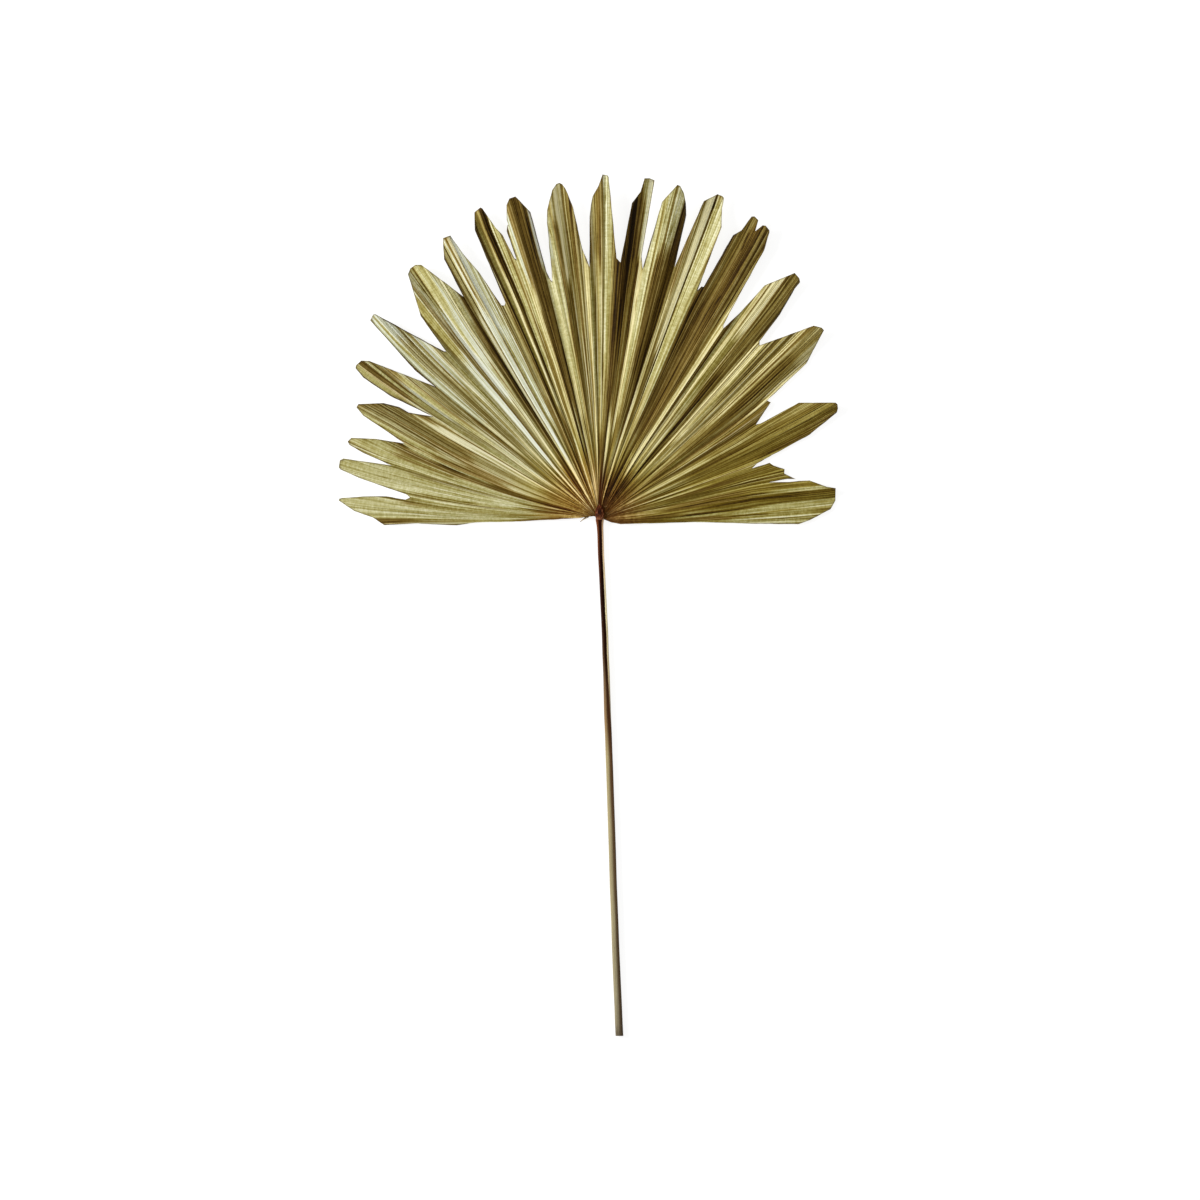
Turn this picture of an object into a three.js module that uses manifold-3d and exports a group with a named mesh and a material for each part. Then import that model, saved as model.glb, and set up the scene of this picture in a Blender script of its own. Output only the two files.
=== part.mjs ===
// Dried fan-palm frond, cut with its long leaf stalk and lying on a surface.
// Millimetres, +Z up. The stalk runs toward -Y, the fan opens toward +Y and
// the upper face of the leaf looks up. The origin is at the middle of the
// outline, on the surface that the frond lies on.
//
// leaf_blade  the fan: one thin pleated sheet, split round its rim into 22
//             pointed segments that stay joined for most of their length
// petiole     the leaf stalk with its head, and the short rib (costa) that
//             tapers away under the blade
// hastula     the small horny flap on top of the joint of stalk and blade

import * as THREE from 'three';
import { mergeVertices } from 'three/addons/utils/BufferGeometryUtils.js';
import Module from 'manifold-3d';

const wasm = await Module();
wasm.setup();

// ---------------------------------------------------------------- dimensions
const SHEET = 0.6;            // thickness of the blade, measured vertically
const GAP = 0.3;              // clearance between neighbouring pieces
const HUB_HOLE = 4.9;         // inner radius where the blade meets the stalk
const HUB_RISE = 4.4;         // how high the blade's underside is at the hub
const REF_RADIUS = 133;       // radius at which the fold heights are stated
const FOLD_START = 10.5;      // folds are this much deeper than pure rays
const FLAT_RADIUS = 196;      // past this radius the pleats stop deepening
const STALK_LENGTH = 361.5;   // hub to the cut end
const CUT_Y = -STALK_LENGTH;
const TIP_LIFT_FROM = 118;    // radius at which the segments begin to lift
const TIP_LIFT_TO = 242;

// Outline of the fan seen from above, from its right lower corner
// counter-clockwise, as [x, y] from the hub.
const OUTLINE = [
  [8.4, -2.4], [14.7, -3.9], [65.8, -2.4], [139.3, -3.3], [147.0, -0.5], [161.7, 7.2],
  [165.1, 13.3], [165.2, 21.9], [158.9, 22.9], [147.0, 27.3], [138.6, 27.4], [129.3, 32.2],
  [129.5, 35.3], [121.7, 37.8], [119.0, 39.7], [106.7, 35.7], [110.3, 39.2], [147.0, 59.3],
  [166.1, 74.9], [166.8, 77.7], [166.5, 80.5], [165.2, 81.7], [139.3, 81.7], [112.7, 67.2],
  [109.5, 66.5], [119.8, 81.9], [117.3, 83.3], [144.8, 109.2], [157.0, 132.3], [155.4, 134.1],
  [149.8, 135.5], [112.0, 121.8], [112.0, 124.7], [126.3, 143.5], [136.5, 161.3], [140.3, 165.9],
  [139.8, 168.7], [136.5, 172.4], [115.5, 163.7], [99.2, 145.6], [86.7, 133.7], [86.7, 135.8],
  [91.2, 144.9], [115.2, 188.3], [118.9, 200.9], [118.8, 202.3], [116.2, 205.4], [114.1, 205.7],
  [108.9, 201.6], [111.1, 209.3], [108.5, 212.0], [106.4, 211.9], [99.4, 202.3], [93.4, 198.8],
  [72.8, 162.6], [71.4, 163.0], [68.6, 160.3], [85.4, 204.4], [85.7, 217.7], [87.1, 224.7],
  [86.2, 226.1], [82.6, 227.6], [73.0, 222.6], [52.5, 176.5], [60.7, 212.8], [60.4, 221.2],
  [59.0, 228.2], [56.4, 233.1], [54.4, 233.8], [43.7, 221.9], [30.1, 175.3], [29.4, 184.1],
  [38.5, 237.3], [35.0, 238.7], [31.5, 238.6], [28.7, 229.2], [22.7, 221.2], [14.7, 179.7],
  [11.9, 182.8], [6.4, 239.4], [5.6, 240.6], [2.1, 241.2], [-0.7, 233.2], [-4.8, 226.1],
  [-6.0, 219.8], [-6.9, 212.1], [-7.0, 176.8], [-12.1, 189.7], [-18.5, 218.4], [-23.6, 231.0],
  [-26.1, 234.5], [-28.0, 235.4], [-30.1, 234.7], [-33.1, 230.3], [-36.6, 216.3], [-36.7, 207.2],
  [-32.9, 166.5], [-34.3, 167.5], [-37.1, 173.3], [-48.3, 214.9], [-58.8, 225.8], [-63.0, 224.3],
  [-65.0, 219.8], [-64.8, 209.3], [-63.6, 205.8], [-64.4, 206.0], [-64.9, 201.6], [-58.1, 181.9],
  [-59.6, 182.7], [-67.7, 198.8], [-72.4, 203.7], [-81.9, 217.5], [-83.3, 218.2], [-87.5, 214.9],
  [-87.2, 202.3], [-65.8, 151.5], [-66.5, 149.7], [-68.6, 149.8], [-84.3, 172.9], [-95.2, 185.6],
  [-104.3, 198.6], [-109.5, 196.7], [-108.7, 182.0], [-95.2, 155.9], [-124.6, 178.1], [-128.8, 178.1],
  [-132.3, 175.7], [-134.0, 171.5], [-125.0, 142.1], [-107.4, 117.6], [-108.7, 117.6], [-156.8, 143.6],
  [-158.2, 143.4], [-160.4, 139.3], [-129.1, 104.3], [-115.2, 93.1], [-161.0, 110.9], [-166.6, 111.1],
  [-170.3, 107.8], [-170.6, 105.7], [-165.2, 99.2], [-146.3, 86.3], [-116.8, 72.1], [-133.7, 74.9],
  [-140.0, 78.6], [-151.2, 81.5], [-168.7, 80.7], [-170.0, 78.4], [-165.4, 72.8], [-136.4, 53.2],
  [-156.8, 56.4], [-173.6, 57.1], [-176.2, 54.6], [-175.0, 52.2], [-165.2, 46.5], [-145.6, 37.8],
  [-179.2, 42.6], [-181.6, 41.3], [-182.4, 36.4], [-181.3, 35.0], [-168.0, 29.0], [-135.0, 17.5],
  [-132.6, 15.4], [-135.8, 13.9], [-149.1, 16.2], [-162.4, 16.2], [-179.9, 15.1], [-182.0, 14.5],
  [-182.5, 13.3], [-171.5, 5.9], [-158.5, 1.4], [-150.5, -4.0], [-127.4, -2.7], [-100.1, -4.2],
  [-86.8, -2.5], [-61.6, -2.2], [-13.4, 0.0], [-13.6, -1.4], [-12.6, -1.8],
];

// Fold lines of the pleated sheet, right to left: [angle on the fan in
// degrees, height close to the hub, height out in the segments].
const FOLDS = [
  [-0.65, 3.5, 2.2], [1.65, 0.1, 1.4], [5.05, 1.2, 0.0], [6.65, 2.5, 2.1], [9.35, 1.5, 3.4],
  [10.75, 0.1, 2.7], [12.30, 0.4, 0.1], [17.20, 2.4, 2.3], [18.60, 0.5, 2.0], [20.50, 2.5, 1.7],
  [21.85, 0.1, 0.0], [24.00, 0.5, 1.5], [25.50, 2.6, 2.8], [29.10, 2.7, 2.6], [30.30, 0.4, 2.2],
  [31.15, 0.1, 0.6], [32.00, 1.3, 0.2], [33.45, 3.4, 2.2], [34.60, 0.6, 0.9], [35.75, 0.3, 0.0],
  [37.85, 2.0, 2.3], [40.65, 1.0, 2.6], [42.50, 0.4, 0.2], [43.70, 1.5, 1.9], [46.10, 1.4, 2.9],
  [47.30, 2.5, 1.1], [48.45, 1.1, 0.0], [49.80, 0.0, 1.6], [51.55, 3.0, 3.0], [52.70, 2.5, 3.3],
  [53.95, 3.3, 3.0], [55.95, 0.8, 0.8], [56.85, 2.7, 2.7], [57.35, 3.0, 2.5], [58.65, 0.6, 0.1],
  [59.65, 0.1, 0.1], [60.80, 1.8, 1.4], [64.90, 1.5, 1.1], [67.70, 2.8, 4.1], [70.10, 0.2, 0.0],
  [72.00, 3.2, 1.3], [74.05, 0.0, 0.1], [76.75, 2.9, 4.1], [78.15, 2.7, 4.5], [80.90, 1.4, 0.0],
  [82.55, 3.0, 1.0], [84.10, 0.0, 2.2], [85.50, 1.8, 3.0], [86.85, 3.2, 2.5], [88.45, 2.7, 1.0],
  [89.80, 2.0, 1.6], [90.50, 1.0, 0.3], [91.95, 2.0, 2.1], [93.35, 0.0, 0.0], [94.35, 1.1, 1.3],
  [96.00, 0.8, 0.7], [98.10, 2.6, 3.8], [99.95, 0.9, 2.9], [101.70, 0.1, 0.0], [104.20, 2.1, 2.8],
  [105.10, 4.2, 3.9], [108.95, 0.1, 0.1], [110.50, 1.3, 1.6], [111.65, 1.7, 0.8], [112.50, 2.8, 2.4],
  [114.00, 1.7, 1.8], [114.85, 1.5, 2.8], [117.65, 2.6, 1.0], [118.70, 3.4, 1.6], [119.95, 1.5, 0.0],
  [121.15, 0.0, 0.1], [124.10, 3.7, 3.9], [127.40, 0.9, 0.2], [129.55, 3.3, 2.9], [131.25, 0.0, 0.0],
  [134.10, 2.5, 2.6], [135.30, 0.4, 0.6], [139.15, 1.5, 2.4], [140.60, 0.2, 0.0], [142.45, 2.6, 2.2],
  [144.30, 2.1, 2.6], [145.75, 0.1, 0.2], [148.30, 3.5, 3.2], [149.65, 2.0, 2.7], [151.20, 0.2, 0.0],
  [156.25, 4.0, 2.5], [158.35, 0.1, 2.0], [159.15, 0.3, 2.0], [159.95, 0.7, 0.0], [162.15, 3.4, 2.8],
  [163.00, 2.6, 3.0], [165.35, 0.4, 0.2], [167.10, 2.7, 2.9], [171.50, 0.1, 0.0], [172.65, 2.3, 1.0],
  [174.45, 0.5, 1.7], [175.80, 2.6, 3.1], [179.15, 0.6, 0.1], [181.15, 1.6, 2.2], [181.90, 0.1, 0.6],
];

// The fold lines bow a little. Each row gives, at one radius, the true polar
// angle of the lines whose nominal angles are in FAN_ANGLES.
const FAN_ANGLES = [-10, 0, 10, 20, 30, 40, 50, 60, 70, 80, 90, 100, 110, 120, 130, 140, 150, 160, 170, 180, 190];
const FAN_RADII = [11.2, 16.8, 23.8, 33.6, 46.2, 63.0, 84.0, 108.5, 133.0, 161.0, 189.0, 217.0, 243.6];
const FAN_TRUE = [
  [-26.2, -13.3, 11.4, 20.4, 31.1, 41.2, 49.1, 63.7, 77.4, 86.3, 92.4, 96.4, 106.6, 117.9, 130.5, 139.7, 148.1, 160.3, 167.3, 177.0, 188.0],
  [-23.4, -10.4, 11.1, 19.9, 30.8, 40.4, 49.3, 62.9, 75.9, 85.2, 91.7, 96.3, 107.5, 118.4, 130.5, 139.9, 148.8, 161.3, 168.4, 177.8, 188.4],
  [-20.0, -7.6, 10.7, 19.5, 30.6, 39.7, 49.5, 62.3, 74.6, 83.9, 91.1, 96.7, 108.2, 118.7, 130.6, 140.2, 149.5, 162.4, 169.5, 178.7, 188.8],
  [-15.9, -5.4, 10.4, 19.0, 30.2, 39.4, 50.0, 61.9, 73.3, 82.6, 90.5, 97.3, 108.6, 118.8, 130.7, 140.5, 150.2, 163.4, 170.6, 179.6, 189.3],
  [-12.7, -3.7, 10.3, 18.9, 29.8, 39.3, 50.2, 61.7, 72.3, 81.5, 89.9, 97.8, 108.7, 118.9, 130.7, 140.7, 150.6, 163.6, 171.3, 180.3, 189.8],
  [-11.2, -2.4, 10.6, 19.0, 29.3, 39.2, 50.0, 61.2, 71.4, 80.7, 89.7, 98.5, 109.0, 119.4, 130.4, 140.5, 150.5, 163.1, 171.5, 180.6, 190.0],
  [-10.5, -1.4, 11.0, 19.1, 29.3, 39.4, 49.8, 60.6, 70.6, 80.3, 89.8, 99.1, 109.3, 119.8, 129.8, 140.2, 150.2, 162.0, 171.2, 180.5, 189.9],
  [-10.2, -0.6, 10.8, 19.4, 29.5, 39.7, 49.9, 60.2, 70.2, 80.1, 90.0, 99.6, 109.7, 120.0, 129.8, 140.1, 150.2, 161.2, 170.5, 180.4, 190.1],
  [-10.0, 0.0, 10.0, 20.0, 30.0, 40.0, 50.0, 60.0, 70.0, 80.0, 90.0, 100.0, 110.0, 120.0, 130.0, 140.0, 150.0, 160.0, 170.0, 180.0, 190.0],
  [-9.6, 0.8, 9.1, 21.0, 30.1, 40.6, 50.0, 59.8, 69.8, 80.0, 90.1, 100.4, 110.3, 120.0, 130.0, 139.8, 149.8, 158.5, 169.5, 180.0, 190.3],
  [-9.3, 1.7, 9.0, 22.4, 30.1, 41.0, 50.1, 59.6, 69.6, 79.9, 90.2, 100.7, 110.7, 119.9, 129.8, 139.1, 149.4, 157.4, 168.8, 179.1, 190.3],
  [-9.3, 2.0, 9.1, 23.1, 30.1, 41.5, 50.5, 59.6, 69.5, 79.9, 90.4, 100.9, 111.1, 119.7, 129.6, 138.2, 148.6, 157.1, 168.4, 178.9, 190.3],
  [-9.3, 2.0, 9.1, 23.1, 30.2, 42.2, 50.7, 59.8, 69.5, 79.8, 90.6, 100.9, 110.9, 119.3, 129.0, 138.3, 148.0, 157.1, 168.3, 178.9, 190.3],
];

// Lift of the 22 segment tips above the sheet: [nominal angle, lift].
const TIP_LIFT = [
  [-6, 1.5], [6, 2.5], [15, 3.5], [25, 5.5], [33, 2], [41, 6], [51, 4],
  [62, 6.5], [69.5, 4], [76.5, 7], [81.5, 5], [89, 7.5], [96.5, 4.5],
  [105.5, 7], [111, 4], [118.5, 6.5], [126, 4.5], [138, 6.5], [147, 3.5],
  [155, 5.5], [163, 3], [169, 4.5], [176, 2], [187, 1],
];

// Rise of the sheet's underside toward the hub: [radius, height].
const HUB_PROFILE = [
  [0, HUB_RISE], [8.4, HUB_RISE - 0.1], [16.8, 3.7], [29.4, 2.7],
  [46, 1.5], [70, 0.5], [100, 0], [260, 0],
];

// Stalk sections, hub outward then under the blade:
// [y, centre x, half width, underside z, top z, groove depth].
const STALK = [
  [28.6, 1.9, 0.45, 1.8, 2.3, 0], [22, 1.6, 0.8, 1.6, 2.8, 0],
  [14, 1.2, 1.3, 1.3, 3.3, 0], [7, 0.8, 1.9, 1.1, 3.7, 0],
  [4.1, 0.5, 2.3, 1.0, 3.8, 0], [3.3, 0.4, 2.6, 1.0, 5.1, 0],
  [1, 0.2, 2.95, 0.9, 5.3, 0], [-1.2, 0.1, 2.75, 0.7, 5.0, 0.1],
  [-4, 0.3, 2.3, 0.5, 4.5, 0.5], [-11, 0.7, 2.15, 0.2, 4.1, 0.9],
  [-25, 1.1, 2.15, 0, 3.9, 1.0], [-39, 1.8, 2.15, 0, 3.8, 1.0],
  [-53, 2.5, 2.2, 0, 3.8, 1.0], [-67, 3.2, 2.2, 0, 3.8, 0.9],
  [-81, 3.9, 2.25, 0, 3.8, 0.9], [-95, 4.2, 2.25, 0, 3.9, 0.8],
  [-109, 4.9, 2.3, 0, 3.9, 0.6], [-123, 5.3, 2.35, 0, 3.9, 0.4],
  [-137, 5.6, 2.4, 0, 4.0, 0.2], [-151, 6.3, 2.4, 0, 4.0, 0],
  [-172, 7.0, 2.45, 0, 4.0, 0], [-193, 7.7, 2.45, 0, 4.1, 0],
  [-214, 8.4, 2.5, 0, 4.1, 0], [-235, 9.1, 2.5, 0, 4.1, 0],
  [-256, 9.6, 2.5, 0, 4.2, 0], [-277, 10.5, 2.5, 0, 4.2, 0],
  [-298, 11.3, 2.55, 0, 4.2, 0], [-319, 12.1, 2.6, 0, 4.2, 0],
  [-340, 13.0, 2.6, 0, 4.2, 0], [-354, 13.6, 2.65, 0, 4.2, 0],
  [CUT_Y, 14.0, 2.65, 0, 4.2, 0],
];

// Hastula: half outline of the flap from its foot to its point, as
// [y, half width, height above its seat].
const HASTULA_SEAT = 5.75;
const HASTULA = [
  [0.6, 2.3, 0.9], [1.6, 3.1, 1.5], [3.2, 3.5, 2.1], [5.4, 3.3, 2.4],
  [7.4, 2.6, 2.2], [9.2, 1.6, 1.6], [10.6, 0.6, 0.8],
];
const HASTULA_X = 0.1;

// ------------------------------------------------------------------- helpers
const rad = (deg) => deg * Math.PI / 180;

function table(rows, x, column = 1) {
  const last = rows.length - 1;
  if (x <= rows[0][0]) return rows[0][column];
  if (x >= rows[last][0]) return rows[last][column];
  let i = 0;
  while (x > rows[i + 1][0]) i += 1;
  const f = (x - rows[i][0]) / (rows[i + 1][0] - rows[i][0]);
  return rows[i][column] * (1 - f) + rows[i + 1][column] * f;
}

function smooth(a, b, x) {
  const t = Math.min(1, Math.max(0, (x - a) / (b - a)));
  return t * t * (3 - 2 * t);
}

// True polar angle of the fold line with nominal angle u at radius r.
function fanAngle(u, r) {
  const last = FAN_RADII.length - 1;
  const rr = Math.min(Math.max(r, FAN_RADII[0]), FAN_RADII[last]);
  let j = 0;
  while (j < last - 1 && rr > FAN_RADII[j + 1]) j += 1;
  const f = (rr - FAN_RADII[j]) / (FAN_RADII[j + 1] - FAN_RADII[j]);
  const step = FAN_ANGLES[1] - FAN_ANGLES[0];
  const k = Math.min(Math.max((u - FAN_ANGLES[0]) / step, 0), FAN_ANGLES.length - 1.001);
  const i = Math.floor(k);
  const g = k - i;
  const at = (row) => FAN_TRUE[row][i] * (1 - g) + FAN_TRUE[row][i + 1] * g;
  return at(j) * (1 - f) + at(j + 1) * f;
}

// Height of the sheet's underside on fold k at radius r.
function foldHeight(k, r) {
  const [u, near, far] = FOLDS[k];
  const w = smooth(42, 98, r);
  const depth = (Math.min(r, FLAT_RADIUS) + FOLD_START) / (REF_RADIUS + FOLD_START);
  const pleat = (near * (1 - w) + far * w) * depth;
  const lift = table(TIP_LIFT, u) * smooth(TIP_LIFT_FROM, TIP_LIFT_TO, r);
  return table(HUB_PROFILE, r) + pleat + lift;
}

function solid(geometry) {
  for (const name of ['normal', 'uv']) if (geometry.getAttribute(name)) geometry.deleteAttribute(name);
  const merged = mergeVertices(geometry, 1e-4);
  return new wasm.Manifold(new wasm.Mesh({
    numProp: 3,
    vertProperties: Float32Array.from(merged.getAttribute('position').array),
    triVerts: Uint32Array.from(merged.getIndex().array),
  }));
}

function geometryOf(manifold) {
  const mesh = manifold.getMesh();
  const out = new THREE.BufferGeometry();
  out.setAttribute('position', new THREE.BufferAttribute(Float32Array.from(mesh.vertProperties), 3));
  out.setIndex(new THREE.BufferAttribute(Uint32Array.from(mesh.triVerts), 1));
  return out;
}

function indexed(points, faces) {
  const g = new THREE.BufferGeometry();
  g.setAttribute('position', new THREE.BufferAttribute(Float32Array.from(points.flat()), 3));
  g.setIndex(faces.flat());
  return g;
}

// Closed skin over a stack of rings with the same number of points each.
function loft(rings) {
  const n = rings[0].length;
  const points = rings.flat();
  const faces = [];
  for (let j = 0; j < rings.length - 1; j += 1) {
    for (let i = 0; i < n; i += 1) {
      const a = j * n + i;
      const b = j * n + (i + 1) % n;
      faces.push([a, b, b + n], [a, b + n, a + n]);
    }
  }
  const cap = (ring, flip) => {
    const base = ring * n;
    for (let i = 1; i < n - 1; i += 1) {
      faces.push(flip ? [base, base + i + 1, base + i] : [base, base + i, base + i + 1]);
    }
  };
  cap(0, true);
  cap(rings.length - 1, false);
  return indexed(points, faces);
}

// --------------------------------------------------------------------- blade
// A pleated polar sheet, larger than the leaf, cut to the leaf's outline.
function pleatedSheet() {
  const radii = [4.2, 8.4, 16.8, 29.4, 46, 70, 100, 133, 161, FLAT_RADIUS, 221, 247];
  const columns = FOLDS.map((fold, k) => ({ u: fold[0], k }));
  columns.unshift({ u: FOLDS[0][0] - 6, k: 0 });
  columns.push({ u: FOLDS[FOLDS.length - 1][0] + 5, k: FOLDS.length - 1 });
  const n = columns.length;
  const top = [];
  const bottom = [];
  for (const r of radii) {
    for (const { u, k } of columns) {
      const t = rad(fanAngle(u, r));
      const z = foldHeight(k, r);
      bottom.push([r * Math.cos(t), r * Math.sin(t), z]);
      top.push([r * Math.cos(t), r * Math.sin(t), z + SHEET]);
    }
  }
  const size = top.length;
  const faces = [];
  for (let j = 0; j < radii.length - 1; j += 1) {
    for (let i = 0; i < n - 1; i += 1) {
      const a = j * n + i;
      const b = a + 1;
      const c = b + n;
      const d = a + n;
      faces.push([a, d, c], [a, c, b]);
      faces.push([a + size, c + size, d + size], [a + size, b + size, c + size]);
    }
  }
  const wall = (a, b) => faces.push([a, b, b + size], [a, b + size, a + size]);
  for (let i = 0; i < n - 1; i += 1) {
    wall(i, i + 1);
    wall((radii.length - 1) * n + i + 1, (radii.length - 1) * n + i);
  }
  for (let j = 0; j < radii.length - 1; j += 1) {
    wall((j + 1) * n, j * n);
    wall(j * n + n - 1, (j + 1) * n + n - 1);
  }
  return solid(indexed([...top, ...bottom], faces));
}

function outlinePrism() {
  const ring = OUTLINE.map(([x, y]) => new THREE.Vector2(x, y));
  for (let a = 168; a >= -6; a -= 14.5) {
    ring.push(new THREE.Vector2(HUB_HOLE * Math.cos(rad(a)), HUB_HOLE * Math.sin(rad(a))));
  }
  const block = new THREE.ExtrudeGeometry(new THREE.Shape(ring), {
    depth: 60, bevelEnabled: false, steps: 1,
  });
  block.translate(0, 0, -20);
  return solid(block);
}

// ------------------------------------------------------------------- petiole
function petioleGeometry() {
  const rings = STALK.map(([y, x, w, z0, z1, groove]) => {
    const h = z1 - z0;
    const section = [
      [-0.34, 0], [0.34, 0], [0.8, 0.16], [1, 0.46], [0.93, 0.8], [0.62, 1],
      [0.36, 1 - groove * 0.5 / h], [0.02, 1 - groove / h],
      [-0.3, 1 - groove * 0.2 / h], [-0.68, 0.98], [-0.98, 0.7], [-0.86, 0.2],
    ];
    return section.map(([a, b]) => [x + a * w, y, z0 + b * h]);
  });
  return loft(rings);
}

// ------------------------------------------------------------------- hastula
function hastulaGeometry() {
  const rings = HASTULA.map(([y, w, h]) => {
    const ring = [];
    for (const [a, b] of [[-1, 0.12], [-0.8, 0], [0.8, 0], [1, 0.12], [0.84, 0.62], [0.45, 0.93], [0, 1], [-0.45, 0.93], [-0.84, 0.62]]) {
      ring.push([HASTULA_X + a * w, y, HASTULA_SEAT + b * h]);
    }
    return ring;
  });
  return loft(rings.reverse());
}

// ------------------------------------------------------------------ assembly
const bladeMaterial = new THREE.MeshStandardMaterial({ color: 0xa8974f, roughness: 0.55, metalness: 0 });
const petioleMaterial = new THREE.MeshStandardMaterial({ color: 0x6b5132, roughness: 0.6, metalness: 0 });
const hastulaMaterial = new THREE.MeshStandardMaterial({ color: 0x4a1f12, roughness: 0.5, metalness: 0 });

const blade = new THREE.Mesh(geometryOf(pleatedSheet().intersect(outlinePrism())), bladeMaterial);
blade.name = 'leaf_blade';
const petiole = new THREE.Mesh(petioleGeometry(), petioleMaterial);
petiole.name = 'petiole';
const hastula = new THREE.Mesh(hastulaGeometry(), hastulaMaterial);
hastula.name = 'hastula';

const frond = new THREE.Group();
frond.add(blade, petiole, hastula);

// Put the origin at the middle of the outline, on the surface below.
const box = new THREE.Box3();
for (const mesh of frond.children) {
  mesh.geometry.computeBoundingBox();
  box.union(mesh.geometry.boundingBox);
}
const middle = box.getCenter(new THREE.Vector3());
frond.position.set(-middle.x, -middle.y, -box.min.z);
frond.updateMatrixWorld(true);

export default frond;
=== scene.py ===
# Dried fan-palm frond lying on a pale surface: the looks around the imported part.
import math

import bmesh
import bpy
import numpy as np
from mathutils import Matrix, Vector


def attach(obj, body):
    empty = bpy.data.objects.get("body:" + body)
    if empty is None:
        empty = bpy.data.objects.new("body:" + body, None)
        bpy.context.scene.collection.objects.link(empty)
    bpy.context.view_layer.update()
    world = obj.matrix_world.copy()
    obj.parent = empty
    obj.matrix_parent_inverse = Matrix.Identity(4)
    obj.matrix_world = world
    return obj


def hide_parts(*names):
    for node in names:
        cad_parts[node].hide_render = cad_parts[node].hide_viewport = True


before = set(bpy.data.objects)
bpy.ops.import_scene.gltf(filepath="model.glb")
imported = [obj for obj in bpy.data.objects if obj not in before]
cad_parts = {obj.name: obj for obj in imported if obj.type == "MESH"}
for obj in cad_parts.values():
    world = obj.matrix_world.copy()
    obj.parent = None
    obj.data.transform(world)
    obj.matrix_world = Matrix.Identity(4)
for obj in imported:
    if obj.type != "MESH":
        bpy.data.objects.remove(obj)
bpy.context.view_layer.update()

MM = 0.001
HUB = (7.85, 60.15)            # the hub of the fan in the part's frame, mm
SHEET = 0.42                   # visible thickness of the blade, mm
SEED = 7

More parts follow.
